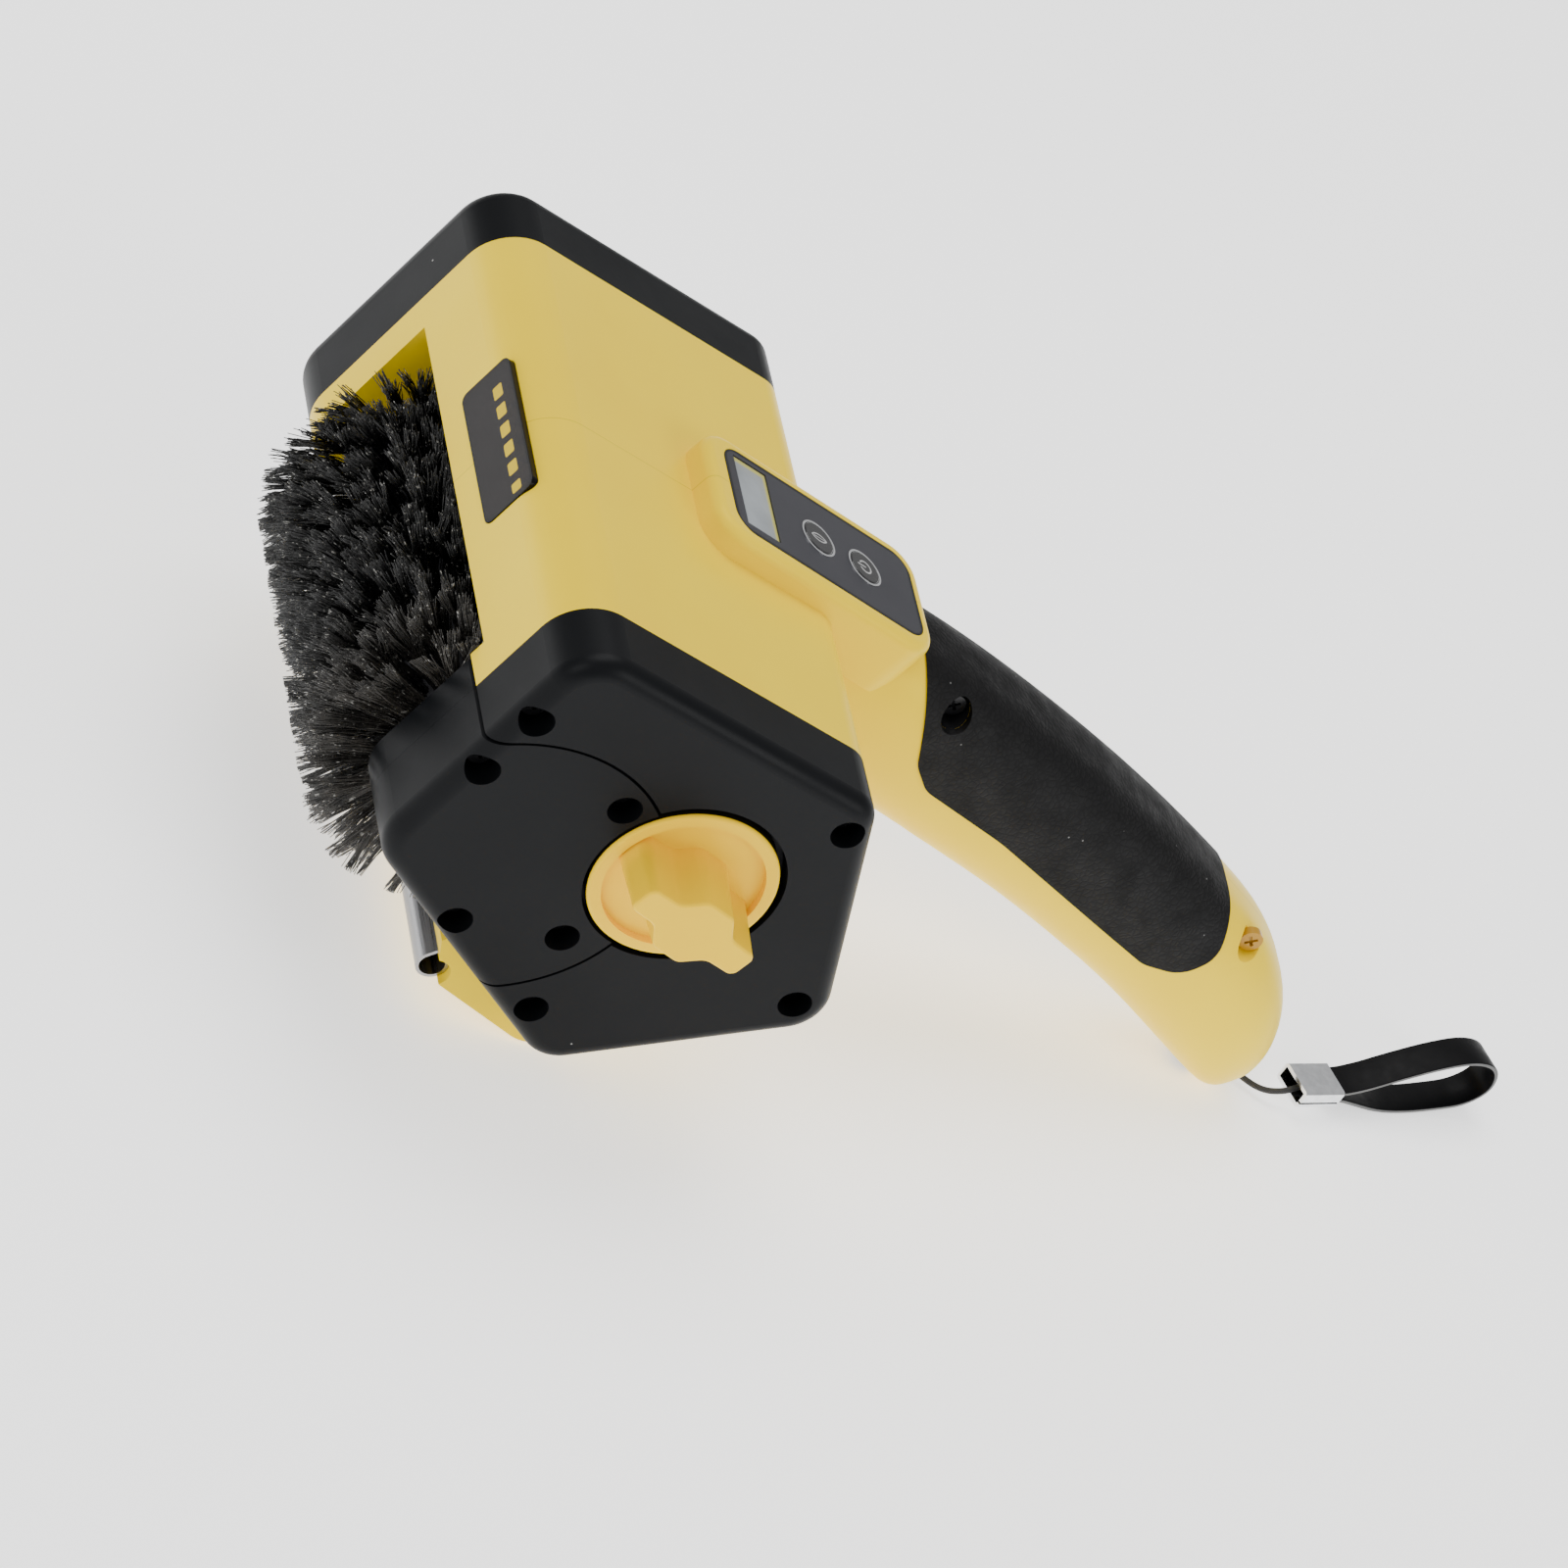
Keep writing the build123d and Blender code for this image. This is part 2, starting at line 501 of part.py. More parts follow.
# Bores for the far bearing, dog, motor bracket and screws
hub = rod(AXIS_X, AXIS_Z, 11.0, BAY_FAR + 0.1, 143.0)
body += hub
body -= rod(AXIS_X, AXIS_Z, 6.2, BAY_FAR - 1, BAY_FAR + 2.2)
body -= rod(AXIS_X, AXIS_Z, 8.52, 136.7, 150)
body -= rod(AXIS_X, AXIS_Z, 6.2, 130, 137)
for px, pz in CAP_SCREWS:
    body -= rod(px, pz, 1.55, CAP_DEPTH - 1, CAP_DEPTH + 14.5)
    body -= rod(px, pz, 1.55, FAR_CAP - 14.5, FAR_CAP + 1)

# Recesses for the display panel, LED window, grips and handle screws
panel_face = boss_rectangle(0, PANEL_LENGTH, PANEL_WIDTH, 5.6)
body -= boss_prism(boss_rectangle(-0.15, PANEL_LENGTH + 0.15, PANEL_WIDTH + 0.3, 5.7), -1.7, 5)
window_outline = Pos((WINDOW_START + WINDOW_END) / 2, (WINDOW_NEAR + WINDOW_FAR) / 2) * RectangleRounded(
    WINDOW_END - WINDOW_START, WINDOW_FAR - WINDOW_NEAR, 2.2)
window_seat = offset(window_outline, amount=0.15)
body -= window_prism(window_seat, -1.6, 4)
body -= window_prism(offset(window_outline, amount=-1.6), -4, 4)

grip_region = prism(rounded_face(GRIP_OUTLINE, GRIP_OUTLINE_R), -50, 250)
grip_inner = handle_solid(-1.3)
grip_outer = handle_solid(0.45)
boss_keep = boss_prism(boss_rectangle(-60, PANEL_LENGTH + 3.8, 200, 2), -60, 40)
grip_zone = grip_region - boss_keep
body -= (handle_solid(1.5) - grip_inner) & grip_zone

screw_posts = None
for hx, hz in HANDLE_SCREWS:
    post = rod(hx, hz, 5.6, MID - HANDLE_HALF_WIDTH + 0.6, MID + HANDLE_HALF_WIDTH - 0.6) & handle_solid(-1.4)
    screw_posts = post if screw_posts is None else screw_posts + post
body += screw_posts
handle_recess = None
for hx, hz in HANDLE_SCREWS:
    cut = rod(hx, hz, RECESS_R, 0, MID - HANDLE_HALF_WIDTH + 9.0)
    cut += rod(hx, hz, 1.65, 0, MID + 0.05)
    cut += rod(hx, hz, 1.55, MID, MID + 10.0)
    handle_recess = cut if handle_recess is None else handle_recess + cut
body -= handle_recess

# Charging socket on the underside and strap hole in the end of the handle
JACK = Plane(origin=(116.4, MID, -177.6), x_dir=(0, 1, 0), z_dir=(-0.886, 0, -0.464))
STRAP_EXIT = Plane(origin=(127.3, MID, -183.6), x_dir=(0, 1, 0), z_dir=(0.45, 0, -0.893))


def on_plane(plane, radius, h0, h1):
    """Cylinder on a plane's normal between two heights."""
    return extrude(plane.offset(h0) * Circle(radius), amount=h1 - h0)


handle_skin = handle_solid(-0.3)
body += on_plane(JACK, 6.4, -9.0, -0.8) & handle_skin
body += on_plane(STRAP_EXIT, 5.0, -10.5, 0.0) & handle_skin
body -= on_plane(JACK, 4.3, -2.2, 5.0)
body -= on_plane(JACK, 3.25, -14.0, 0.0)
body -= on_plane(STRAP_EXIT, 1.7, -8.5, 4.0)
strap_pin_at = (127.3 - 0.45 * 6.0, -183.6 + 0.893 * 6.0)
body -= rod(strap_pin_at[0], strap_pin_at[1], 1.02, MID - 4.0, MID + 4.0)
parts["strap_pin"] = rod(strap_pin_at[0], strap_pin_at[1], 1.0, MID - 3.9, MID + 3.9)
jack = on_plane(JACK, 3.2, -13.0, -3.4) - on_plane(JACK, 2.6, -11.6, 0) + on_plane(JACK, 0.9, -12.0, -5.0)
parts["charge_socket"] = jack
plug = on_plane(JACK, 4.2, -1.6, -0.2) + on_plane(JACK, 2.2, -4.0, -1.5) - on_plane(JACK, 1.1, -6.0, -1.9)
parts["socket_plug"] = plug



def cell_place(start, heading):
    """Frame at the lower end of a battery cell, its axis pointing down the handle."""
    t = math.radians(heading)
    return Location(Plane(origin=(start[0], MID, start[1]), x_dir=(0, 1, 0), z_dir=(math.cos(t), 0, math.sin(t))))


for start, heading in CELL_ENDS:
    body -= cell_place(start, heading) * Pos(0, 0, -1.5) * Cylinder(CELL_R + 0.25, CELL_L + 3.0, align=UPRIGHT)

parts["housing_near"] = body & half_space(True)
parts["housing_far"] = body & half_space(False)

# Rubber grips
grip_ring = ((grip_outer - handle_solid(-1.28)) & grip_zone) - handle_recess
parts["grip_near"] = grip_ring & half_space(True)
parts["grip_far"] = grip_ring & half_space(False)
parts["handle_screws"] = screws(HANDLE_SCREWS, MID - HANDLE_HALF_WIDTH + 9.0, 1, 17.0)

# Far end cap
far_block = cap_block(WIDTH, FAR_CAP, head_outline)
far_cap = far_block - prism(rounded_face(HEAD, HEAD_R, WALL), FAR_CAP - 1, WIDTH - 3.0)
far_cap += recessed_posts(CAP_SCREWS, FAR_CAP + 0.05, WIDTH - 1.0, far_block)
far_cap -= recess_cuts(CAP_SCREWS, WIDTH, -1, FAR_CAP - 1)
parts["end_cap_far"] = far_cap

# --------------------------------------------------------------- scraper sheet
sheet_length = 26.4
ROLL_START = 90.0 + SHEET_ANGLE
ROLL_TURN = 292.0


def roll_point(radius, degrees):
    t = math.radians(degrees)
    return (TUBE_X + radius * math.cos(t), TUBE_Z + radius * math.sin(t))


roll_in = TUBE_R - SHEET_T
top_far = along(tangent, sheet_way, sheet_length)
low_near = roll_point(roll_in, ROLL_START)
low_far = along(low_near, sheet_way, sheet_length)
roll_mid, roll_end = ROLL_START + ROLL_TURN / 2, ROLL_START + ROLL_TURN
sheet_edges = [
    Line(top_far, tangent),
    ThreePointArc(tangent, roll_point(TUBE_R, roll_mid), roll_point(TUBE_R, roll_end)),
    Line(roll_point(TUBE_R, roll_end), roll_point(roll_in, roll_end)),
    ThreePointArc(roll_point(roll_in, roll_end), roll_point(roll_in, roll_mid), low_near),
    Line(low_near, low_far),
    Line(low_far, top_far),
]
sheet = prism(make_face(sheet_edges), SHEET_NEAR, SHEET_FAR)
parts["scraper_sheet"] = sheet

# --------------------------------------------------------------- display
panel = boss_prism(panel_face, -1.6, 0)
lcd_x, lcd_y = 8.65, 0.4
lcd_size = (10.5, 23.0)
button_x = (28.5, 43.7)
panel -= boss_prism(Pos(lcd_x, lcd_y) * Rectangle(*lcd_size), -3, 1)
for bx in button_x:
    panel -= boss_prism(Pos(bx, 0) * Circle(5.3), -3, 1)
parts["display_panel"] = panel
parts["lcd_window"] = boss_prism(Pos(lcd_x, lcd_y) * Rectangle(lcd_size[0] - 0.1, lcd_size[1] - 0.1), -1.5, -0.35)
parts["lcd_module"] = boss_prism(Pos(lcd_x + 0.3, 0) * Rectangle(13.0, 24.4), -4.6, -1.75)
board = boss_prism(boss_rectangle(2.0, PANEL_LENGTH - 2.0, 24.0, 4.0), -8.4, -6.8)
parts["control_board"] = board
rings, switches = [], []
for bx in button_x:
    rings.append(boss_prism(Pos(bx, 0) * (Circle(5.25) - Circle(4.7)), -1.5, 0.15))
    switches.append(boss_prism(Pos(bx, 0) * RectangleRounded(6.0, 6.0, 0.5), -6.75, -4.6)
                    + boss_prism(Pos(bx, 0) * Circle(1.6), -4.7, -4.1))
parts["button_rings"] = Compound(children=rings)
parts["tact_switches"] = Compound(children=switches)


def button(bx):
    dome = boss_prism(Pos(bx, 0) * Circle(4.62), -1.5, 0.35)
    dome = fillet(dome.faces().sort_by(BOSS_AXIS)[-1].edges(), 0.45)
    skirt = boss_prism(Pos(bx, 0) * Circle(6.2), -2.6, -1.75) + boss_prism(Pos(bx, 0) * Circle(4.62), -1.8, -1.4)
    return dome + skirt + boss_prism(Pos(bx, 0) * Circle(1.5), -3.2, -2.5)


parts["power_button"] = button(button_x[1])
parts["mode_button"] = button(button_x[0])

# --------------------------------------------------------------- LED strip
parts["led_window"] = window_prism(window_outline, -1.5, 0.25)
led_s = 61.0
led_ys = [63.3 + 6.32 * i for i in range(6)]
led_solids = []
for ly in led_ys:
    led_solids.append(window_prism(Pos(led_s, ly) * RectangleRounded(3.6, 3.0, 0.6), -3.2, -1.75))
parts["leds"] = Compound(children=led_solids)
parts["led_board"] = window_prism(Pos(59.6, (WINDOW_NEAR + WINDOW_FAR) / 2) * Rectangle(9.0, 39.0), -4.7, -3.35)

# --------------------------------------------------------------- battery and charging
cell_solids = []
contact_solids = []
for start, heading in CELL_ENDS:
    place = cell_place(start, heading)
    cell = place * Cylinder(CELL_R, CELL_L, align=UPRIGHT)
    cell = fillet(cell.edges(), 0.8)
    cell_solids.append(cell + place * Pos(0, 0, -0.7) * Cylinder(3.0, 0.9, align=UPRIGHT))
    contact_solids.append(place * Pos(0, 0, -1.1) * Cylinder(6.0, 0.35, align=UPRIGHT))
    contact_solids.append(place * Pos(0, 0, CELL_L + 0.05) * Cylinder(6.0, 0.35, align=UPRIGHT))
parts["battery_cells"] = Compound(children=cell_solids)
parts["battery_contacts"] = Compound(children=contact_solids)

# --------------------------------------------------------------- resting attitude
tilted = {name: Rot(0, -TILT, 0) * shape for name, shape in parts.items()}
boxes = [shape.bounding_box() for shape in tilted.values()]
low = [min(getattr(b.min, k) for b in boxes) for k in ("X", "Y", "Z")]
high = [max(getattr(b.max, k) for b in boxes) for k in ("X", "Y", "Z")]
shift = (-(low[0] + high[0]) / 2, -(low[1] + high[1]) / 2, -low[2])

# --------------------------------------------------------------- wrist strap
# Points are in the tilted frame, with heights counted from the floor.
STRAP_HEADING = 19.0
CLASP = (234.9, 78.3)
CLASP_BASE = 3.9
CLASP_SIZE = (13.5, 10.6, 5.4)
RIBBON = (8.8, 1.2)
CORD_R = 0.8
cord_route = [
    (208.2, 81.1, 5.75), (212.6, 81.1, 3.55), (217.0, 79.0, 2.0), (222.0, 75.6, 2.6), (226.6, 74.4, 5.2),
    (230.6, 76.4, 6.3), (234.0, 78.0, 6.6),
]
loop_route = [
    (-0.5, 7.35), (7.0, 7.35), (15.0, 9.3), (24.0, 13.2), (36.0, 17.6), (47.0, 19.8), (56.5, 17.0), (60.5, 9.0),
    (55.0, 3.2), (45.0, 1.6), (35.0, 0.65), (25.0, 1.1), (15.0, 3.7), (7.0, 5.85), (-0.5, 5.85),
]


def smooth_route(points):
    """Path of straight runs and arcs; each arc uses 0.45 of the shorter run beside it."""
    corners = [Vector(*p) for p in points]
    edges = []
    last = corners[0]
    for i in range(1, len(corners) - 1):
        before, after = corners[i] - corners[i - 1], corners[i + 1] - corners[i]
        d_in, d_out = before.normalized(), after.normalized()
        turn = math.acos(max(-1.0, min(1.0, d_in.dot(d_out))))
        if turn < 1e-4:
            continue
        reach = 0.45 * min(before.length, after.length)
        radius = reach / math.tan(turn / 2)
        start, end = corners[i] - d_in * reach, corners[i] + d_out * reach
        centre = corners[i] + (d_out - d_in).normalized() * (radius / math.cos(turn / 2))
        middle = centre + (corners[i] - centre).normalized() * radius
        edges += [Line(last, start), ThreePointArc(start, middle, end)]
        last = end
    edges.append(Line(last, corners[-1]))
    return Wire(edges)


floor = low[2]
cord_path = smooth_route([(x, y, z + floor) for x, y, z in cord_route])
cord_plane = Plane(origin=cord_path @ 0, z_dir=cord_path % 0)
tilted["strap_cord"] = sweep(cord_plane * Circle(CORD_R), path=cord_path)

strap_frame = Pos(CLASP[0], CLASP[1], floor) * Rot(0, 0, STRAP_HEADING)
clasp = Pos(0, 0, CLASP_BASE) * Box(*CLASP_SIZE, align=UPRIGHT)
clasp = fillet(clasp.edges().filter_by(Axis.X), 0.9)
clasp -= Pos(0, 0.05, CLASP_BASE + 1.0) * Box(16.0, 9.0, 3.4, align=UPRIGHT)
clasp -= Pos(0, -4.5, CLASP_BASE + 1.8) * Box(20.0, 3.0, 0.6)
tilted["strap_clasp"] = strap_frame * clasp

loop_path = smooth_route([(x, 0, z) for x, z in loop_route])
loop_plane = Plane(origin=loop_path @ 0, x_dir=(0, 1, 0), z_dir=loop_path % 0)
ribbon = sweep(loop_plane * Rectangle(*RIBBON), path=loop_path)
tilted["strap_loop"] = strap_frame * ribbon

os.makedirs("parts", exist_ok=True)
for name, shape in tilted.items():
    export_step(Pos(*shift) * shape, f"parts/{name}.step")
print("shift", [round(v, 4) for v in shift], "low", [round(v, 3) for v in low], "high", [round(v, 3) for v in high])
print("ribbon", round(loop_path.length, 1), "cord", round(cord_path.length, 1))
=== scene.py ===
import bpy
import math
import numpy as np
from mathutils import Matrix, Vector


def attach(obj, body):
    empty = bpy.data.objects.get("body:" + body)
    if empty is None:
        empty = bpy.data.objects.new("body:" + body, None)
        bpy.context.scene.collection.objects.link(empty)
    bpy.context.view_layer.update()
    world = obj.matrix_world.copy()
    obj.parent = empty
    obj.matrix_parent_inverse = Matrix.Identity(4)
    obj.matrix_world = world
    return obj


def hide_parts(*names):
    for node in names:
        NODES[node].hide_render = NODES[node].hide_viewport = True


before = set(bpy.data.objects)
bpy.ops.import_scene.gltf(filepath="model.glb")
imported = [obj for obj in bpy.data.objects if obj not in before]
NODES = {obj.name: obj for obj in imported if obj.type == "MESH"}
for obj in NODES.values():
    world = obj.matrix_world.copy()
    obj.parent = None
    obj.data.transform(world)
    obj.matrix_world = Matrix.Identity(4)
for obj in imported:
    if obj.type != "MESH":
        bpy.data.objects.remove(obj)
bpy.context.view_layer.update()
rng = np.random.default_rng(2026)
MM, TO_MM = 0.001, 1000.0

# The row frame is the tool's side profile tilted by TILT about Y and then shifted.
TILT = math.radians(36.7)
SHIFT = (-66.4891, -73.45, 75.0201)
ROLLER = (-39.5, 16.5)
ROLLER_NEAR, ROLLER_FAR = 30.4, 132.8
CORE_R, TIP_R = 16.0, 40.0
SEAM_Y = 81.1


def row(a, y, b):
    """Row-frame point in metres from a side-profile point (a, b) at roller position y, in mm."""
    x = a * math.cos(TILT) - b * math.sin(TILT)
    z = a * math.sin(TILT) + b * math.cos(TILT)
    return Vector(((x + SHIFT[0]) * MM, (y + SHIFT[1]) * MM, (z + SHIFT[2]) * MM))


def row_way(a, y, b):
    """Unit row-frame direction of a side-profile direction."""
    x = a * math.cos(TILT) - b * math.sin(TILT)
    z = a * math.sin(TILT) + b * math.cos(TILT)
    return Vector((x, y, z)).normalized()


def table(x, y, z):
    """Row-frame point in metres from resting-attitude millimetres, heights from the floor."""
    return Vector(((x + SHIFT[0]) * MM, (y + SHIFT[1]) * MM, z * MM))


def add_object(name, data):
    obj = bpy.data.objects.new(name, data)
    bpy.context.scene.collection.objects.link(obj)
    return obj


# ------------------------------------------------------------------ camera
CAMERA_AT = (-0.783632, -1.189132, 0.991801)
CAMERA_TURN = (50.389, -29.928, -10.4915)
CAMERA_LENS = 166.84

camera_data = bpy.data.cameras.new("view_camera")
camera_data.sensor_width = 36.0
camera_data.lens = CAMERA_LENS
camera_data.clip_start = 0.01
camera_data.clip_end = 30.0
camera = add_object("view_camera", camera_data)
camera.location = CAMERA_AT
camera.rotation_euler = [math.radians(v) for v in CAMERA_TURN]
bpy.context.scene.camera = camera


# --------------------------------------------------------------- materials
def node_material(name):
    """New material with its tree, its shader and the object's own coordinates."""
    material = bpy.data.materials.new(name)
    material.use_nodes = True
    tree = material.node_tree
    shader = tree.nodes["Principled BSDF"]
    coords = tree.nodes.new("ShaderNodeTexCoord").outputs["Object"]
    return material, tree, shader, coords


def noise(tree, coords, scale, detail=3.0, rough=0.5):
    node = tree.nodes.new("ShaderNodeTexNoise")
    node.inputs["Scale"].default_value = scale
    node.inputs["Detail"].default_value = detail
    node.inputs["Roughness"].default_value = rough
    tree.links.new(coords, node.inputs["Vector"])
    return node.outputs["Fac"]


def ramp(tree, fac, stops):
    """Colour ramp through (position, grey or colour) stops."""
    node = tree.nodes.new("ShaderNodeValToRGB")
    elements = node.color_ramp.elements
    while len(elements) > 1:
        elements.remove(elements[-1])
    for i, (position, value) in enumerate(stops):
        element = elements[0] if i == 0 else elements.new(position)
        element.position = position
        element.color = (*value, 1.0) if hasattr(value, "__len__") else (value, value, value, 1.0)
    tree.links.new(fac, node.inputs["Fac"])
    return node.outputs["Color"]


def mix(tree, fac, a, b):
    node = tree.nodes.new("ShaderNodeMix")
    node.data_type = "RGBA"
    for socket, value in ((node.inputs[0], fac), (node.inputs[6], a), (node.inputs[7], b)):
        if isinstance(value, bpy.types.NodeSocket):
            tree.links.new(value, socket)
        else:
            socket.default_value = value if not hasattr(value, "__len__") else (*value[:3], 1.0)
    return node.outputs[2]


def bump(tree, shader, height, strength, distance, under=None):
    node = tree.nodes.new("ShaderNodeBump")
    node.inputs["Strength"].default_value = strength
    node.inputs["Distance"].default_value = distance
    tree.links.new(height, node.inputs["Height"])
    if under is not None:
        tree.links.new(under, node.inputs["Normal"])
    tree.links.new(node.outputs["Normal"], shader.inputs["Normal"])
    return node.outputs["Normal"]


def maths(tree, operation, a, b=None):
    node = tree.nodes.new("ShaderNodeMath")
    node.operation = operation
    for socket, value in zip(node.inputs, (a, b)):
        if value is None:
            continue
        if isinstance(value, bpy.types.NodeSocket):
            tree.links.new(value, socket)
        else:
            socket.default_value = value
    return node.outputs[0]


def plastic(name, light, dark, rough=(0.34, 0.44), grain=900.0, grain_depth=0.00002, specks=0.0,
            seam=False, coat=0.0, specular=0.3, tint=(1.0, 1.0, 1.0)):
    """Moulded plastic: colour drift, uneven gloss, fine texture; dust specks and a parting line if asked."""
    material, tree, shader, coords = node_material(name)
    drift = noise(tree, coords, 25.0, 4.0)
    colour = ramp(tree, drift, [(0.3, dark), (0.7, light)])
    if specks:
        cells = tree.nodes.new("ShaderNodeTexVoronoi")
        cells.inputs["Scale"].default_value = 170.0
        tree.links.new(coords, cells.inputs["Vector"])
        dots = ramp(tree, cells.outputs["Distance"], [(0.028, 1.0), (0.05, 0.0)])
        keep = ramp(tree, noise(tree, coords, 60.0, 2.0), [(0.60, 0.0), (0.63, 1.0)])
        mask = maths(tree, "MULTIPLY", maths(tree, "MULTIPLY", dots, keep), specks)
        colour = mix(tree, mask, colour, (0.55, 0.55, 0.53))
    height = noise(tree, coords, grain, 2.0)
    if seam:
        split = tree.nodes.new("ShaderNodeSeparateXYZ")
        tree.links.new(coords, split.inputs[0])
        from_seam = maths(tree, "SUBTRACT", split.outputs["Y"], (SEAM_Y + SHIFT[1]) * MM)
        offset = maths(tree, "ABSOLUTE", from_seam)
        line = ramp(tree, maths(tree, "MULTIPLY", offset, TO_MM), [(0.07, 1.0), (0.16, 0.0)])
        colour = mix(tree, maths(tree, "MULTIPLY", line, 0.42), colour, [c * 0.35 for c in dark])
    tree.links.new(colour, shader.inputs["Base Color"])
    tree.links.new(ramp(tree, noise(tree, coords, 45.0, 5.0), [(0.3, rough[0]), (0.7, rough[1])]),
                   shader.inputs["Roughness"])
    shader.inputs["Specular IOR Level"].default_value = specular
    shader.inputs["Specular Tint"].default_value = (*tint, 1.0)
    shader.inputs["Coat Weight"].default_value = coat
    shader.inputs["Coat Roughness"].default_value = 0.18
    bump(tree, shader, height, 0.25, grain_depth)
    return material


def metal(name, colour, rough=(0.2, 0.32), streak=(4.0, 260.0, 260.0), depth=0.000004):
    """Metal with faint drawn streaks."""
    material, tree, shader, coords = node_material(name)
    mapping = tree.nodes.new("ShaderNodeMapping")
    mapping.inputs["Scale"].default_value = streak
    tree.links.new(coords, mapping.inputs["Vector"])
    lines = noise(tree, mapping.outputs["Vector"], 12.0, 3.0)
    tree.links.new(ramp(tree, lines, [(0.3, [c * 0.82 for c in colour]), (0.7, colour)]),
                   shader.inputs["Base Color"])
    tree.links.new(ramp(tree, lines, [(0.3, rough[0]), (0.7, rough[1])]), shader.inputs["Roughness"])
    shader.inputs["Metallic"].default_value = 1.0
    bump(tree, shader, lines, 0.2, depth)
    return material


def rubber_grain(name, light, dark):
    """Leather-like overmould: irregular cells with fine creases."""
    material, tree, shader, coords = node_material(name)
    warp = tree.nodes.new("ShaderNodeTexNoise")
    warp.inputs["Scale"].default_value = 260.0
    tree.links.new(coords, warp.inputs["Vector"])
    shifted = tree.nodes.new("ShaderNodeVectorMath")
    shifted.operation = "MULTIPLY_ADD"
    tree.links.new(warp.outputs["Color"], shifted.inputs[0])
    shifted.inputs[1].default_value = (0.0018, 0.0018, 0.0018)
    tree.links.new(coords, shifted.inputs[2])
    cells = tree.nodes.new("ShaderNodeTexVoronoi")
    cells.feature = "DISTANCE_TO_EDGE"
    cells.inputs["Scale"].default_value = 620.0
    tree.links.new(shifted.outputs[0], cells.inputs["Vector"])
    crease = ramp(tree, cells.outputs["Distance"], [(0.0, 0.0), (0.22, 1.0)])
    tone = ramp(tree, noise(tree, coords, 70.0, 6.0), [(0.3, dark), (0.7, light)])
    # Painted shade: the creases are painted darker than the cells.
    colour = mix(tree, crease, [c * 0.55 for c in dark], tone)
    dots = tree.nodes.new("ShaderNodeTexVoronoi")
    dots.inputs["Scale"].default_value = 240.0
    tree.links.new(coords, dots.inputs["Vector"])
    spots = ramp(tree, dots.outputs["Distance"], [(0.04, 1.0), (0.07, 0.0)])
    keep = ramp(tree, noise(tree, coords, 85.0, 2.0), [(0.56, 0.0), (0.6, 1.0)])
    dust_and_painted_light = maths(tree, "MULTIPLY", maths(tree, "MULTIPLY", spots, keep), 0.5)
    colour = mix(tree, dust_and_painted_light, colour, (0.4, 0.4, 0.39))
    tree.links.new(colour, shader.inputs["Base Color"])
    tree.links.new(ramp(tree, noise(tree, coords, 150.0, 4.0), [(0.3, 0.5), (0.7, 0.68)]),
                   shader.inputs["Roughness"])
    shader.inputs["Specular IOR Level"].default_value = 0.15
    coarse = bump(tree, shader, noise(tree, coords, 190.0, 5.0), 0.35, 0.00025)
    bump(tree, shader, crease, 0.6, 0.00010, coarse)
    return material


def tinted_glass(name, colour, alpha, rough=0.06, specular=0.15):
    """Clear or smoked window film, slightly cloudy."""
    material, tree, shader, coords = node_material(name)
    cloud = noise(tree, coords, 90.0, 4.0)
    tree.links.new(ramp(tree, cloud, [(0.3, [c * 0.75 for c in colour]), (0.7, colour)]),
                   shader.inputs["Base Color"])
    tree.links.new(ramp(tree, noise(tree, coords, 120.0, 4.0), [(0.3, rough), (0.7, rough * 2)]),
                   shader.inputs["Roughness"])
    shader.inputs["Alpha"].default_value = alpha
    shader.inputs["IOR"].default_value = 1.49
    shader.inputs["Specular IOR Level"].default_value = specular
    return material


def glowing(name, colour, strength):
    material, tree, shader, coords = node_material(name)
    tone = ramp(tree, noise(tree, coords, 700.0, 3.0), [(0.35, [c * 0.7 for c in colour]), (0.7, colour)])
    tree.links.new(tone, shader.inputs["Base Color"])
    tree.links.new(tone, shader.inputs["Emission Color"])
    shader.inputs["Emission Strength"].default_value = strength
    shader.inputs["Roughness"].default_value = 0.3
    return material


def local_uv(tree, coords, origin, u_way, v_way):
    """Distances in mm along two ways from a row-frame point."""
    shifted = tree.nodes.new("ShaderNodeVectorMath")
    shifted.operation = "SUBTRACT"
    tree.links.new(coords, shifted.inputs[0])
    shifted.inputs[1].default_value = tuple(origin)
    results = []
    for way in (u_way, v_way):
        dot = tree.nodes.new("ShaderNodeVectorMath")
        dot.operation = "DOT_PRODUCT"
        tree.links.new(shifted.outputs[0], dot.inputs[0])
        dot.inputs[1].default_value = tuple(Vector(way) * TO_MM)
        results.append(dot.outputs["Value"])
    return results


def box_distance(tree, u, v, centre, half, radius):
    """Signed distance in mm to a rounded rectangle."""
    q = []
    for value, middle, reach in ((u, centre[0], half[0]), (v, centre[1], half[1])):
        from_middle = maths(tree, "ABSOLUTE", maths(tree, "SUBTRACT", value, middle))
        q.append(maths(tree, "SUBTRACT", from_middle, reach - radius))
    outside = [maths(tree, "MAXIMUM", value, 0.0) for value in q]
    squares = maths(tree, "ADD", maths(tree, "POWER", outside[0], 2.0), maths(tree, "POWER", outside[1], 2.0))
    inside = maths(tree, "MINIMUM", maths(tree, "MAXIMUM", q[0], q[1]), 0.0)
    return maths(tree, "SUBTRACT", maths(tree, "ADD", maths(tree, "SQRT", squares), inside), radius)


def circle_distance(tree, u, v, centre, radius):
    """Signed distance in mm to a circle."""
    du, dv = maths(tree, "SUBTRACT", u, centre[0]), maths(tree, "SUBTRACT", v, centre[1])
    squares = maths(tree, "ADD", maths(tree, "POWER", du, 2.0), maths(tree, "POWER", dv, 2.0))
    return maths(tree, "SUBTRACT", maths(tree, "SQRT", squares), radius)


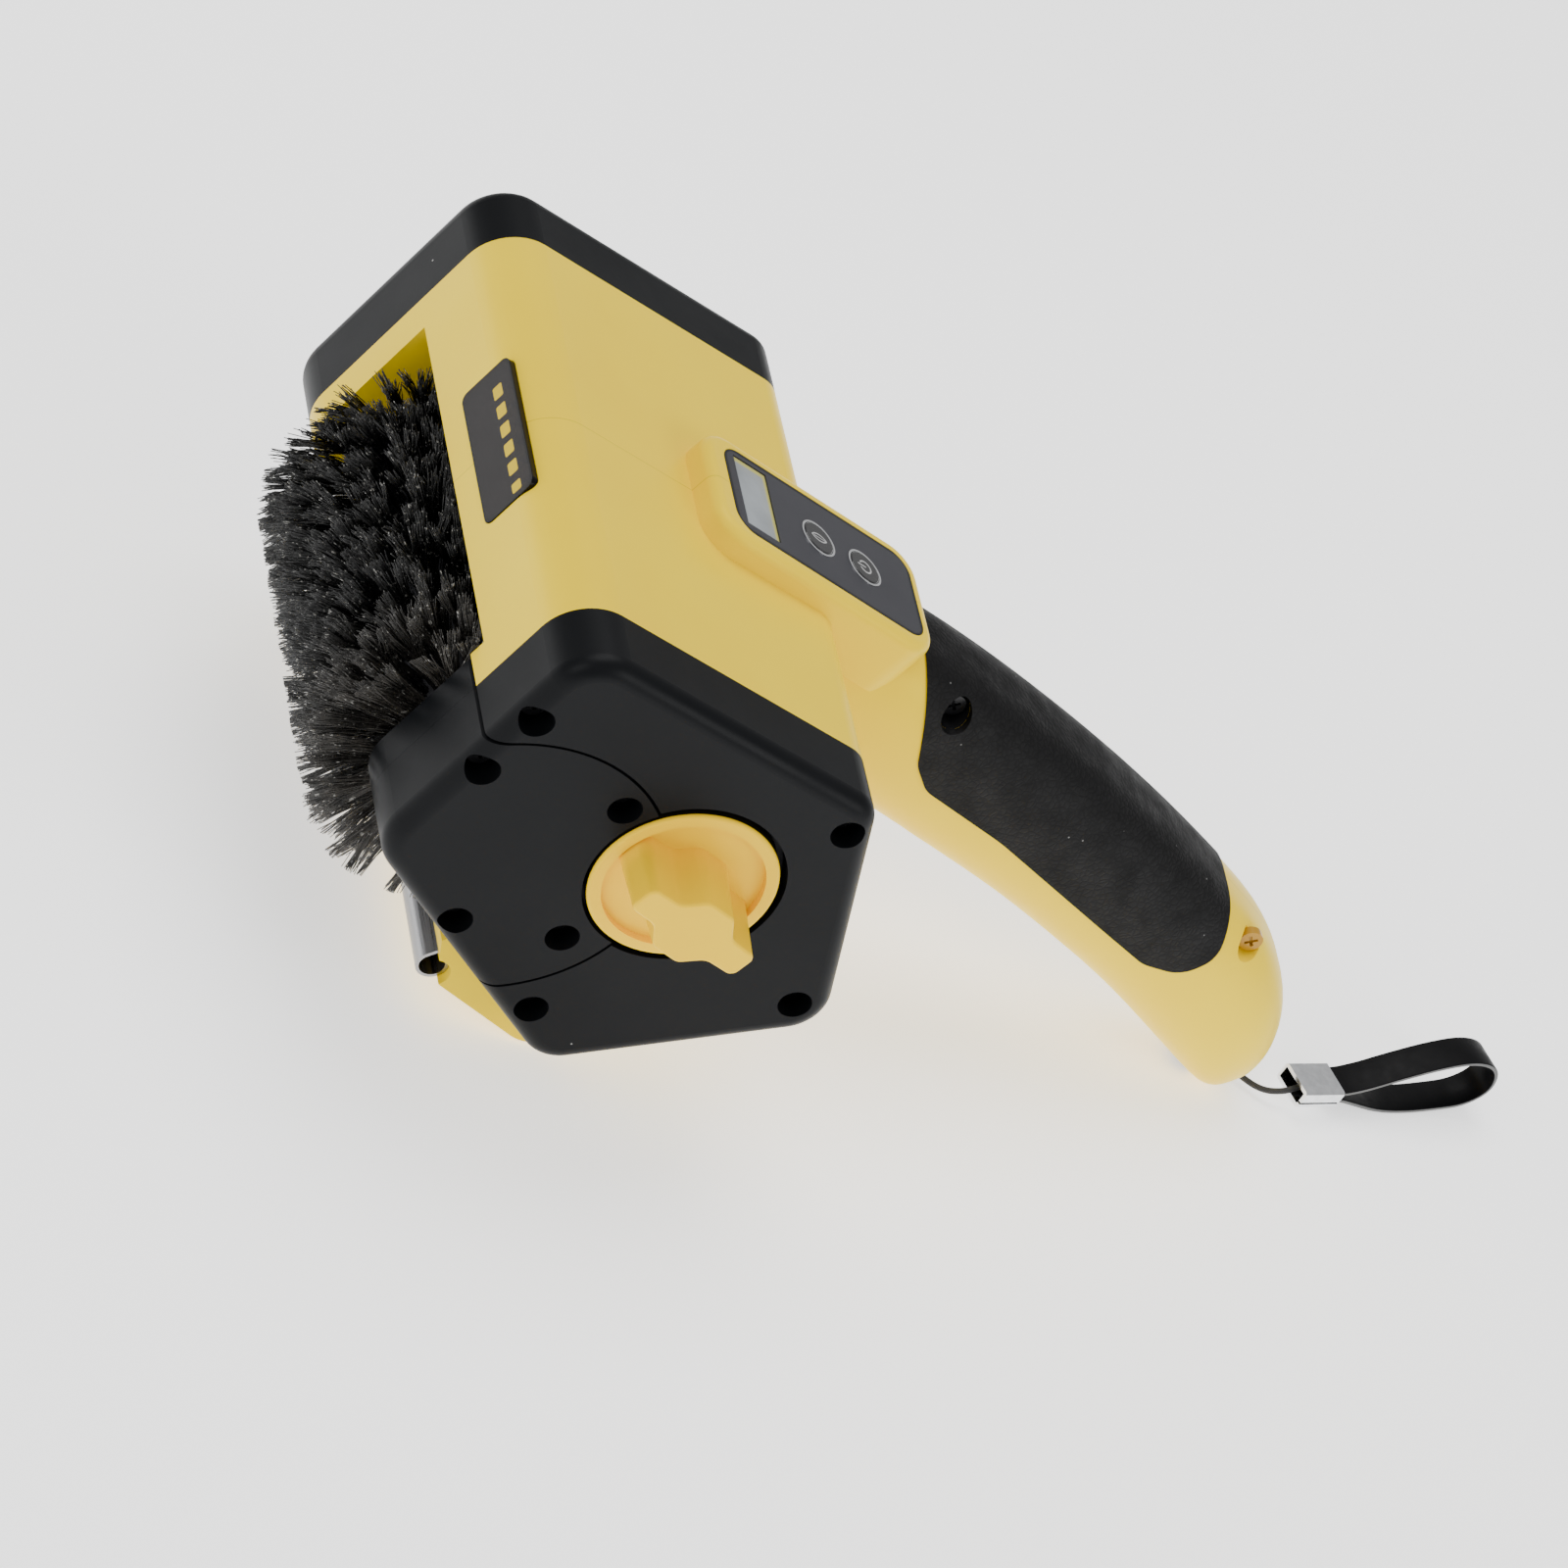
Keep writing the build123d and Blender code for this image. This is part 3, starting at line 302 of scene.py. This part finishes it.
def below(tree, value, edge, soft=0.06):
    """1 where value is under edge, 0 over it."""
    past_edge = maths(tree, "MULTIPLY", maths(tree, "SUBTRACT", value, edge), 0.5 / soft)
    return ramp(tree, maths(tree, "ADD", past_edge, 0.5), [(0.0, 1.0), (1.0, 0.0)])


def above(tree, value, edge, soft=0.06):
    """1 where value is over edge, 0 under it."""
    return opposite(tree, below(tree, value, edge, soft))


def opposite(tree, mask):
    return maths(tree, "SUBTRACT", 1.0, mask)


def line_mask(tree, distance, half_width):
    """1 within half_width of a line, on both sides of it."""
    return below(tree, maths(tree, "ABSOLUTE", distance), half_width)


def both(tree, *masks):
    result = masks[0]
    for mask in masks[1:]:
        result = maths(tree, "MULTIPLY", result, mask)
    return result


def either(tree, *masks):
    result = masks[0]
    for mask in masks[1:]:
        result = maths(tree, "MAXIMUM", result, mask)
    return result


def overpaint(material, mask_of, colour):
    """Mixes a colour over a material's own where the mask is 1."""
    tree = material.node_tree
    shader = tree.nodes["Principled BSDF"]
    coords = next(n for n in tree.nodes if n.type == "TEX_COORD").outputs["Object"]
    mask = mask_of(tree, coords)
    under = shader.inputs["Base Color"].links[0].from_socket
    tree.links.new(mix(tree, mask, under, colour), shader.inputs["Base Color"])
    return mask


def bristle_material():
    """Black nylon with painted pale glints (painted highlights) and painted light that makes it greyer toward
    the near end.
    """
    material, tree, shader, coords = node_material("nylon_bristle")
    nylon = ramp(tree, noise(tree, coords, 420.0, 3.0),
                 [(0.35, (0.002, 0.002, 0.002)), (0.72, (0.011, 0.011, 0.010))])
    along, _ = local_uv(tree, coords, row(0, ROLLER_NEAR, 0), row_way(0, 1, 0), row_way(1, 0, 0))
    # Painted light: the nylon is painted greyer toward the near end.
    near_end = ramp(tree, maths(tree, "MULTIPLY", along, 0.01), [(0.0, 1.0), (0.10, 0.7), (0.30, 0.0)])
    dust_and_painted_light = both(tree, near_end, ramp(tree, noise(tree, coords, 260.0, 3.0), [(0.35, 0.25), (0.6, 1.0)]))
    nylon_with_painted_light = mix(tree, dust_and_painted_light, nylon, (0.060, 0.054, 0.046))
    # Painted highlights: pale glints painted into the nylon's colour.
    painted_glint = ramp(tree, noise(tree, coords, 800.0, 2.0), [(0.64, 0.0), (0.70, 1.0)])
    tree.links.new(mix(tree, painted_glint, nylon_with_painted_light, (0.42, 0.41, 0.38)), shader.inputs["Base Color"])
    tree.links.new(ramp(tree, noise(tree, coords, 900.0, 2.0), [(0.3, 0.22), (0.7, 0.42)]),
                   shader.inputs["Roughness"])
    shader.inputs["Specular IOR Level"].default_value = 0.5
    return material


YELLOW = plastic("yellow_shell", (0.95, 0.68, 0.0), (0.92, 0.64, 0.0), (0.30, 0.40), 1100.0, 0.000016,
                 seam=True, specular=0.3, tint=(1.0, 0.72, 0.06))
KNOB = plastic("yellow_knob", (0.95, 0.61, 0.0), (0.91, 0.56, 0.0), (0.30, 0.38), 900.0, 0.00001,
               specular=0.35, tint=(1.0, 0.66, 0.08))
BLACK = plastic("black_shell", (0.0050, 0.0055, 0.0065), (0.0035, 0.0040, 0.0048), (0.34, 0.44), 1500.0,
                0.00003, specks=0.7, specular=0.09)
DARK = plastic("inner_plastic", (0.06, 0.06, 0.065), (0.04, 0.04, 0.045))
PANEL = plastic("panel_film", (0.034, 0.034, 0.041), (0.029, 0.029, 0.035), (0.34, 0.42), 2500.0,
                0.000008, specular=0.2)
GRIP = rubber_grain("grip_rubber", (0.0055, 0.0055, 0.0058), (0.0035, 0.0035, 0.0038))
STEEL = metal("machined_steel", (0.56, 0.56, 0.57))
BLACK_STEEL = plastic("black_oxide", (0.010, 0.010, 0.011), (0.005, 0.005, 0.006), (0.22, 0.34))
YELLOW_PLATED = plastic("yellow_plated", (0.50, 0.27, 0.01), (0.38, 0.19, 0.006), (0.25, 0.35))
SHEET = metal("sheet_steel", (0.42, 0.42, 0.43), (0.24, 0.36), (260.0, 4.0, 260.0))
CHROME = metal("bright_chrome", (0.86, 0.87, 0.89), (0.06, 0.13), (40.0, 40.0, 40.0), 0.000002)
BRASS = metal("brass", (0.75, 0.58, 0.28))
BELT = plastic("belt_rubber", (0.025, 0.025, 0.026), (0.014, 0.014, 0.015), (0.55, 0.7))
BOARD = plastic("circuit_board", (0.03, 0.20, 0.09), (0.015, 0.13, 0.05), (0.25, 0.4))
WRAP = plastic("cell_wrap", (0.06, 0.22, 0.48), (0.04, 0.16, 0.36), (0.15, 0.25))
SMOKED_ALPHA = 0.93
SMOKED = tinted_glass("smoked_window", (0.018, 0.015, 0.015), SMOKED_ALPHA, 0.06, 0.10)
LCD_GLASS = tinted_glass("lcd_window", (0.42, 0.45, 0.47), 0.75, 0.10)
LED = glowing("led_lens", (0.95, 0.66, 0.01), 0.9)
BRISTLE = bristle_material()

# Places on the display panel and the LED window, in mm from one corner or end of each.
PANEL_ANGLE = math.radians(51.4)
PANEL_AT = row(28.1, SEAM_Y, 41.2)
PANEL_U = row_way(math.cos(PANEL_ANGLE), 0, -math.sin(PANEL_ANGLE))
ACROSS = Vector((0, 1, 0))
PANEL_HALF = (30.5, 14.0)
LCD_CLEAR_AT, LCD_CLEAR_HALF = (8.1, -0.3), (4.8, 10.8)
MODE_U, POWER_U = 28.5, 43.7
WINDOW_AT = row(-65.9, 0, 29.4)
WINDOW_U = row_way(0.7612, 0, 0.6485)
WINDOW_MIDDLE, WINDOW_HALF = (58.0, 81.5), (8.0, 21.5)
LED_COUNT, LED_U, FIRST_LED_Y, LED_PITCH = 6, 61.0, 63.3, 6.32
KNOB_MOUTH_R = 21.4


def panel_border(tree, coords):
    """Darker edge of the display panel."""
    u, v = local_uv(tree, coords, PANEL_AT, PANEL_U, ACROSS)
    return above(tree, box_distance(tree, u, v, (PANEL_HALF[0], 0.0), PANEL_HALF, 4.6), -0.9)


def window_border(tree, coords):
    """Darker edge of the LED window."""
    u, v = local_uv(tree, coords, WINDOW_AT, WINDOW_U, ACROSS)
    return above(tree, box_distance(tree, u, v, WINDOW_MIDDLE, WINDOW_HALF, 3.0), -0.55)


def painted_led_light(tree, coords):
    """Painted LED light on the smoked window, one square over each LED; the first is a little shorter."""
    u, v = local_uv(tree, coords, WINDOW_AT, WINDOW_U, ACROSS)
    spots = []
    for i in range(LED_COUNT):
        centre = (LED_U, FIRST_LED_Y + LED_PITCH * i)
        half = (1.45, 2.0 if i else 1.5)
        spots.append(below(tree, box_distance(tree, u, v, centre, half, 0.5), 0.0))
    return either(tree, *spots)


def lcd_edge(tree, coords):
    """Painted reflection of the yellow shell in two edges of the display window."""
    u, v = local_uv(tree, coords, PANEL_AT, PANEL_U, ACROSS)
    return above(tree, box_distance(tree, u, v, LCD_CLEAR_AT, LCD_CLEAR_HALF, 0.8), 0.0, 0.3)


def knob_flank(tree, coords):
    """The knob's wall below its top face, painted dark as painted shade from the recess."""
    u, v = local_uv(tree, coords, row(0, 0, 0), row_way(1, 0, 0), row_way(0, 0, 1))
    depth, _ = local_uv(tree, coords, row(0, 0, 0), ACROSS, row_way(1, 0, 0))
    outside = above(tree, circle_distance(tree, u, v, (0.0, 0.0), KNOB_MOUTH_R), 0.0)
    return both(tree, outside, above(tree, depth, 0.2))


def power_symbol(tree, coords):
    """Open ring with a short stroke in its gap."""
    u, v = local_uv(tree, coords, PANEL_AT, PANEL_U, ACROSS)
    ring = line_mask(tree, circle_distance(tree, u, v, (POWER_U, 0.0), 1.75), 0.22)
    gap = both(tree, line_mask(tree, v, 0.75), below(tree, u, POWER_U))
    before_end = below(tree, maths(tree, "SUBTRACT", POWER_U - 2.5, u), 0.0)
    stem = both(tree, line_mask(tree, v, 0.2), below(tree, u, POWER_U + 0.2), before_end)
    return either(tree, both(tree, ring, opposite(tree, gap)), stem)


def leaf_symbol(tree, coords):
    """Two arcs meeting in points, with a vein between them."""
    u, v = local_uv(tree, coords, PANEL_AT, PANEL_U, ACROSS)
    left = circle_distance(tree, u, v, (MODE_U, 1.9), 3.0)
    right = circle_distance(tree, u, v, (MODE_U, -1.9), 3.0)
    outline = line_mask(tree, maths(tree, "MAXIMUM", left, right), 0.18)
    along_vein = maths(tree, "SUBTRACT", u, MODE_U + 0.4)
    vein = both(tree, line_mask(tree, v, 0.12), line_mask(tree, along_vein, 2.1))
    return either(tree, outline, vein)


POWER_FACE, MODE_FACE = (
    plastic(name, (0.012, 0.012, 0.013), (0.007, 0.007, 0.008), (0.08, 0.16), 300.0, 0.00001, coat=0.4)
    for name in ("power_button_face", "mode_button_face")
)
overpaint(PANEL, panel_border, (0.003, 0.003, 0.0035))
overpaint(SMOKED, window_border, (0.003, 0.003, 0.003))
# Painted reflection: the shell's yellow painted into two edges of the display window.
overpaint(LCD_GLASS, lcd_edge, (0.60, 0.56, 0.16))
# Painted shade: the knob's wall below its top face is painted nearly black.
overpaint(KNOB, knob_flank, (0.010, 0.009, 0.006))
# Painted LED light: yellow squares painted on the smoked window over the LEDs and made fully opaque there.
painted_led_light_mask = overpaint(SMOKED, painted_led_light, (0.62, 0.44, 0.0))
smoked_tree = SMOKED.node_tree
painted_led_light_opacity = maths(smoked_tree, "MULTIPLY", painted_led_light_mask, 1.0 - SMOKED_ALPHA)
smoked_tree.links.new(maths(smoked_tree, "ADD", SMOKED_ALPHA, painted_led_light_opacity),
                      smoked_tree.nodes["Principled BSDF"].inputs["Alpha"])
overpaint(POWER_FACE, power_symbol, (0.42, 0.42, 0.42))
overpaint(MODE_FACE, leaf_symbol, (0.42, 0.42, 0.42))

PAINT = {
    "housing_near": YELLOW, "housing_far": YELLOW, "release_knob": KNOB,
    "end_cap_near": BLACK, "end_cap_far": BLACK, "roller_cover": BLACK, "roller_end_carrier": BLACK,
    "grip_near": GRIP, "grip_far": GRIP, "display_panel": PANEL, "lcd_window": LCD_GLASS, "lcd_module": DARK,
    "power_button": POWER_FACE, "mode_button": MODE_FACE, "button_rings": CHROME, "tact_switches": DARK,
    "led_window": SMOKED, "leds": LED, "led_board": DARK, "control_board": BOARD,
    "battery_cells": WRAP, "battery_contacts": BRASS, "charge_socket": DARK, "socket_plug": BELT,
    "strap_pin": STEEL, "strap_clasp": CHROME, "scraper_sheet": SHEET,
    "knob_cam": DARK, "knob_washer": STEEL, "knob_screw": STEEL, "cover_screws": BLACK_STEEL,
    "cap_screws_near": BLACK_STEEL, "cap_screws_far": BLACK_STEEL, "handle_screws": BLACK_STEEL,
    "roller_core": DARK, "roller_axle": STEEL, "roller_bearing_near": STEEL, "roller_bearing_far": STEEL,
    "drive_dog": STEEL, "roller_pulley": DARK, "motor_pulley": BRASS, "drive_belt": BELT,
    "motor": STEEL, "motor_shaft": STEEL, "motor_bracket": STEEL, "motor_screws": STEEL,
}
for node_name, material in PAINT.items():
    mesh = NODES[node_name].data
    mesh.materials.clear()
    mesh.materials.append(material)

# The faces in the upper screw recess are coloured black, and the lower screw is a yellow-plated one.
RECESS_AT = row(70.6, SEAM_Y, -30.5)
RECESS_R = 0.0043
LOWER_SCREW_PAST = 0.02
for node_name in ("housing_near", "housing_far"):
    mesh = NODES[node_name].data
    mesh.materials.append(BLACK_STEEL)
    for poly in mesh.polygons:
        if math.hypot(poly.center.x - RECESS_AT.x, poly.center.z - RECESS_AT.z) < RECESS_R:
            poly.material_index = 1
screw_mesh = NODES["handle_screws"].data
screw_mesh.materials.append(YELLOW_PLATED)
for poly in screw_mesh.polygons:
    if poly.center.x > RECESS_AT.x + LOWER_SCREW_PAST:
        poly.material_index = 1


# ------------------------------------------------------------- wrist strap
STRAP_HEADING = math.radians(19.0)
CLASP_AT = (234.9, 78.3)
CORD_D = 1.6
RIBBON_W, RIBBON_T, RIBBON_ROUND = 8.8, 1.2, 0.35
CORD_ROUTE = [
    (208.2, 81.1, 5.75), (212.6, 81.1, 3.55), (217.0, 79.0, 2.0), (222.0, 75.6, 2.6), (226.6, 74.4, 5.2),
    (230.6, 76.4, 6.3), (234.0, 78.0, 6.6),
]
LOOP_ROUTE = [
    (-0.5, 7.35), (7.0, 7.35), (15.0, 9.3), (24.0, 13.2), (36.0, 17.6), (47.0, 19.8), (56.5, 17.0),
    (60.5, 9.0), (55.0, 3.2), (45.0, 1.6), (35.0, 0.65), (25.0, 1.1), (15.0, 3.7), (7.0, 5.85), (-0.5, 5.85),
]


def nurbs_curve(name, points):
    """Curve object on one NURBS spline with its ends at the first and last points."""
    data = bpy.data.curves.new(name, "CURVE")
    data.dimensions = "3D"
    data.resolution_u = 16
    spline = data.splines.new("NURBS")
    spline.points.add(len(points) - 1)
    for target, p in zip(spline.points, points):
        target.co = (*p, 1.0)
    spline.order_u = 3
    spline.use_endpoint_u = True
    return add_object(name, data)


def line_of(name, points):
    """Points along the smooth line through a route."""
    helper = nurbs_curve(name, points)
    mesh = bpy.data.meshes.new_from_object(helper)
    line = [v.co.copy() for v in mesh.vertices]
    bpy.data.objects.remove(helper)
    return line


def braided_cord():
    material, tree, shader, coords = node_material("braided_cord")
    wave = tree.nodes.new("ShaderNodeTexWave")
    wave.inputs["Scale"].default_value = 900.0
    wave.inputs["Distortion"].default_value = 1.5
    wave.bands_direction = "DIAGONAL"
    tree.links.new(coords, wave.inputs["Vector"])
    braid = ramp(tree, wave.outputs["Fac"], [(0.2, (0.006, 0.006, 0.006)), (0.8, (0.035, 0.035, 0.036))])
    tree.links.new(braid, shader.inputs["Base Color"])
    shader.inputs["Roughness"].default_value = 0.62
    bump(tree, shader, wave.outputs["Fac"], 0.5, 0.00012)
    return material


def strap_leather():
    material, tree, shader, coords = node_material("strap_leather")
    tone = noise(tree, coords, 120.0, 5.0)
    tree.links.new(ramp(tree, tone, [(0.3, (0.0025, 0.0025, 0.003)), (0.7, (0.0050, 0.0050, 0.0055))]),
                   shader.inputs["Base Color"])
    tree.links.new(ramp(tree, noise(tree, coords, 300.0, 4.0), [(0.3, 0.34), (0.7, 0.5)]),
                   shader.inputs["Roughness"])
    shader.inputs["Specular IOR Level"].default_value = 0.08
    bump(tree, shader, noise(tree, coords, 1400.0, 3.0), 0.3, 0.00006)
    return material


cord_points = [table(*p) for p in CORD_ROUTE]
strap_cord = nurbs_curve("wrist_cord", cord_points)
strap_cord.data.bevel_depth = CORD_D / 2 * MM
strap_cord.data.bevel_resolution = 5
strap_cord.data.use_fill_caps = True
strap_cord.data.materials.append(braided_cord())
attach(strap_cord, "body")
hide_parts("strap_cord")

strap_ahead = Vector((math.cos(STRAP_HEADING), math.sin(STRAP_HEADING), 0))
strap_side = Vector((-math.sin(STRAP_HEADING), math.cos(STRAP_HEADING), 0))
clasp_origin = table(*CLASP_AT, 0)


def strap_point(s, w, z):
    """Row-frame point s ahead of the clasp, w to the side and z over the floor, in mm."""
    return clasp_origin + (strap_ahead * s + strap_side * w + Vector((0, 0, z))) * MM


loop_line = line_of("loop_line", [strap_point(s, 0, z) for s, z in LOOP_ROUTE])
ribbon_section = []
for corner_w, corner_t, start in ((1, 1, 0), (-1, 1, 90), (-1, -1, 180), (1, -1, 270)):
    for step in range(4):
        t = math.radians(start + step * 30)
        ribbon_section.append((corner_w * (RIBBON_W / 2 - RIBBON_ROUND) + RIBBON_ROUND * math.cos(t),
                               corner_t * (RIBBON_T / 2 - RIBBON_ROUND) + RIBBON_ROUND * math.sin(t)))


def sweep_section(line, side, section):
    """Tube of the section's rings along a line, closed at both ends; the section's first axis is the side."""
    verts, faces = [], []
    count = len(section)
    for i, at in enumerate(line):
        ahead = (line[min(i + 1, len(line) - 1)] - line[max(i - 1, 0)]).normalized()
        up = ahead.cross(side).normalized() * -1
        for w, t in section:
            verts.append(at + side * (w * MM) + up * (t * MM))
    for i in range(len(line) - 1):
        for j in range(count):
            k = (j + 1) % count
            faces.append((i * count + j, i * count + k, (i + 1) * count + k, (i + 1) * count + j))
    last = (len(line) - 1) * count
    faces.append(tuple(range(count))[::-1])
    faces.append(tuple(last + j for j in range(count)))
    return verts, faces


loop_verts, loop_faces = sweep_section(loop_line, strap_side, ribbon_section)
loop_mesh = bpy.data.meshes.new("wrist_loop")
loop_mesh.from_pydata([tuple(v) for v in loop_verts], [], loop_faces)
loop_mesh.update()
loop_mesh.materials.append(strap_leather())
loop_mesh.materials.append(plastic("strap_edge", (0.16, 0.16, 0.155), (0.09, 0.09, 0.09), (0.5, 0.65)))
loop_mesh.shade_smooth()
for poly in loop_mesh.polygons:
    if abs(poly.normal.dot(strap_side)) > 0.8:
        poly.material_index = 1
strap_loop = add_object("wrist_loop", loop_mesh)
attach(strap_loop, "body")
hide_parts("strap_loop")

# ------------------------------------------------------------------ bristles
ROWS = 26
TUFTS = 17
STRANDS = 54
SEGMENTS = 3
STRAND_R = 0.19
STRAND_SIDES = 3
ROOT_INSET = 0.6
END_MARGIN = 1.4
NEAR_LEAN, NEAR_REACH = 7.5, 7.0
FAR_LEAN, FAR_REACH = 9.0, 16.0
NEAR_LIMIT, FAR_LIMIT = ROLLER_NEAR - 1.2, 126.0


def tuft_strands():
    """Nylon tufts set in rows round the roller core, their tips fanned and uneven."""
    starts, middles, tips = [], [], []
    for r in range(ROWS):
        for t in range(TUFTS):
            angle = 2 * math.pi * (r + 0.20 * rng.normal()) / ROWS
            share = (t + 0.5 + 0.25 * (-1) ** r + 0.10 * rng.normal()) / TUFTS
            y0 = ROLLER_NEAR + 1.6 + share * (ROLLER_FAR - ROLLER_NEAR - 3.2)
            y0 = min(max(y0, ROLLER_NEAR + END_MARGIN), ROLLER_FAR - END_MARGIN)
            near_lean = -NEAR_LEAN * math.exp(-(y0 - ROLLER_NEAR) / NEAR_REACH)
            far_lean = -FAR_LEAN * math.exp(-(ROLLER_FAR - y0) / FAR_REACH)
            lean = near_lean + far_lean + 0.8 * rng.normal()
            swirl = 0.02 * rng.normal()
            clumps = rng.normal(size=(4, 2)) * (0.075, 1.9)
            tuft_len = TIP_R - 1.0 + 0.9 * rng.normal()
            for _ in range(STRANDS):
                clump = clumps[rng.integers(4)]
                root_a = angle + rng.normal() * 0.030
                root_y = y0 + rng.normal() * 0.55
                tip_a = angle + swirl + clump[0] + rng.normal() * 0.020
                tip_y = y0 + lean + clump[1] + rng.normal() * 0.55
                tip_r = min(tuft_len + rng.normal() * 0.7, TIP_R + 0.15)
                tip_y = min(max(tip_y, NEAR_LIMIT), FAR_LIMIT)
                mid_a = root_a * 0.55 + tip_a * 0.45 + rng.normal() * 0.012
                mid_y = root_y * 0.62 + tip_y * 0.38
                starts.append((root_a, root_y, CORE_R - ROOT_INSET))
                middles.append((mid_a, mid_y, (CORE_R + tip_r) / 2))
                tips.append((tip_a, tip_y, tip_r))
    return np.array(starts), np.array(middles), np.array(tips)


def to_row(cyl):
    """Row-frame metres from angle, roller position and radius about the roller's axis."""
    a = ROLLER[0] + cyl[:, 2] * np.cos(cyl[:, 0])
    b = ROLLER[1] + cyl[:, 2] * np.sin(cyl[:, 0])
    x = a * math.cos(TILT) - b * math.sin(TILT) + SHIFT[0]
    z = a * math.sin(TILT) + b * math.cos(TILT) + SHIFT[2]
    return np.stack([x, cyl[:, 1] + SHIFT[1], z], axis=1) * MM


def strand_mesh(name):
    """One mesh of thin tapered strands, each bent through its middle point."""
    p0, p1, p2 = (to_row(c) for c in tuft_strands())
    count = len(p0)
    ahead = p2 - p0
    ahead /= np.linalg.norm(ahead, axis=1, keepdims=True)
    side = np.cross(ahead, np.array([0.0, 1.0, 0.0]))
    side /= np.linalg.norm(side, axis=1, keepdims=True)
    other = np.cross(ahead, side)
    bend = 2 * p1 - 0.5 * p0 - 0.5 * p2
    verts = np.zeros((count, SEGMENTS + 1, STRAND_SIDES, 3))
    for s in range(SEGMENTS + 1):
        u = s / SEGMENTS
        centre = (1 - u) ** 2 * p0 + 2 * u * (1 - u) * bend + u ** 2 * p2
        radius = STRAND_R * MM * (1.15 - 0.55 * u)
        for k in range(STRAND_SIDES):
            t = 2 * math.pi * k / STRAND_SIDES
            verts[:, s, k] = centre + radius * (math.cos(t) * side + math.sin(t) * other)
    base = np.arange(count)[:, None] * (SEGMENTS + 1) * STRAND_SIDES
    faces = []
    for s in range(SEGMENTS):
        low, high = s * STRAND_SIDES, (s + 1) * STRAND_SIDES
        for k in range(STRAND_SIDES):
            j = (k + 1) % STRAND_SIDES
            faces.append(base + np.array([low + k, low + j, high + j, high + k]))
    quads = np.concatenate(faces)
    ring = np.arange(STRAND_SIDES)
    caps = np.concatenate([base + ring[::-1], base + SEGMENTS * STRAND_SIDES + ring])
    mesh = bpy.data.meshes.new(name)
    flat = verts.reshape(-1, 3)
    mesh.vertices.add(len(flat))
    mesh.vertices.foreach_set("co", flat.ravel())
    loops = np.concatenate([quads.ravel(), caps.ravel()])
    mesh.loops.add(len(loops))
    mesh.loops.foreach_set("vertex_index", loops)
    mesh.polygons.add(len(quads) + len(caps))
    begin = np.concatenate([np.arange(len(quads)) * 4, len(quads) * 4 + np.arange(len(caps)) * STRAND_SIDES])
    mesh.polygons.foreach_set("loop_start", begin)
    mesh.update(calc_edges=True)
    mesh.validate()
    mesh.shade_smooth()
    return mesh


bristle_mesh = strand_mesh("roller_tufts")
bristle_mesh.materials.append(BRISTLE)
tufts = add_object("roller_tufts", bristle_mesh)
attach(tufts, "roller")
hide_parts("roller_bristles")

# ------------------------------------------------------------------- stage
FLOOR = 6.0
floor_mesh = bpy.data.meshes.new("floor")
floor_mesh.from_pydata([(-FLOOR, -FLOOR, 0), (FLOOR, -FLOOR, 0), (FLOOR, FLOOR, 0), (-FLOOR, FLOOR, 0)], [],
                       [(0, 1, 2, 3)])
floor_material, floor_tree, floor_shader, floor_coords = node_material("pale_floor")
floor_tree.links.new(ramp(floor_tree, noise(floor_tree, floor_coords, 3.0, 2.0), [(0.3, 0.95), (0.7, 0.97)]),
                     floor_shader.inputs["Base Color"])
floor_shader.inputs["Roughness"].default_value = 0.7
floor_shader.inputs["Emission Color"].default_value = (1.0, 1.0, 1.0, 1.0)
floor_shader.inputs["Emission Strength"].default_value = 1.1
floor_mesh.materials.append(floor_material)
floor = add_object("floor", floor_mesh)

world = bpy.data.worlds.new("studio")
world.use_nodes = True
world.node_tree.nodes["Background"].inputs["Color"].default_value = (1.0, 1.0, 1.0, 1.0)
world.node_tree.nodes["Background"].inputs["Strength"].default_value = 0.58
bpy.context.scene.world = world


def softbox(name, at, target, size, power):
    data = bpy.data.lights.new(name, "AREA")
    data.shape = "RECTANGLE"
    data.size, data.size_y = size
    data.energy = power
    light = add_object(name, data)
    light.location = at
    light.rotation_euler = (Vector(target) - Vector(at)).to_track_quat("-Z", "Y").to_euler()


softbox("overhead", (-0.2, 0.5, 1.7), (0, 0, 0.05), (1.4, 1.0), 20.0)
softbox("front_right", (1.1, -1.3, 0.9), (0, 0, 0.05), (0.9, 0.9), 12.0)
softbox("front_left", (-1.3, -0.7, 1.0), (-0.05, 0, 0.05), (0.7, 0.7), 6.0)
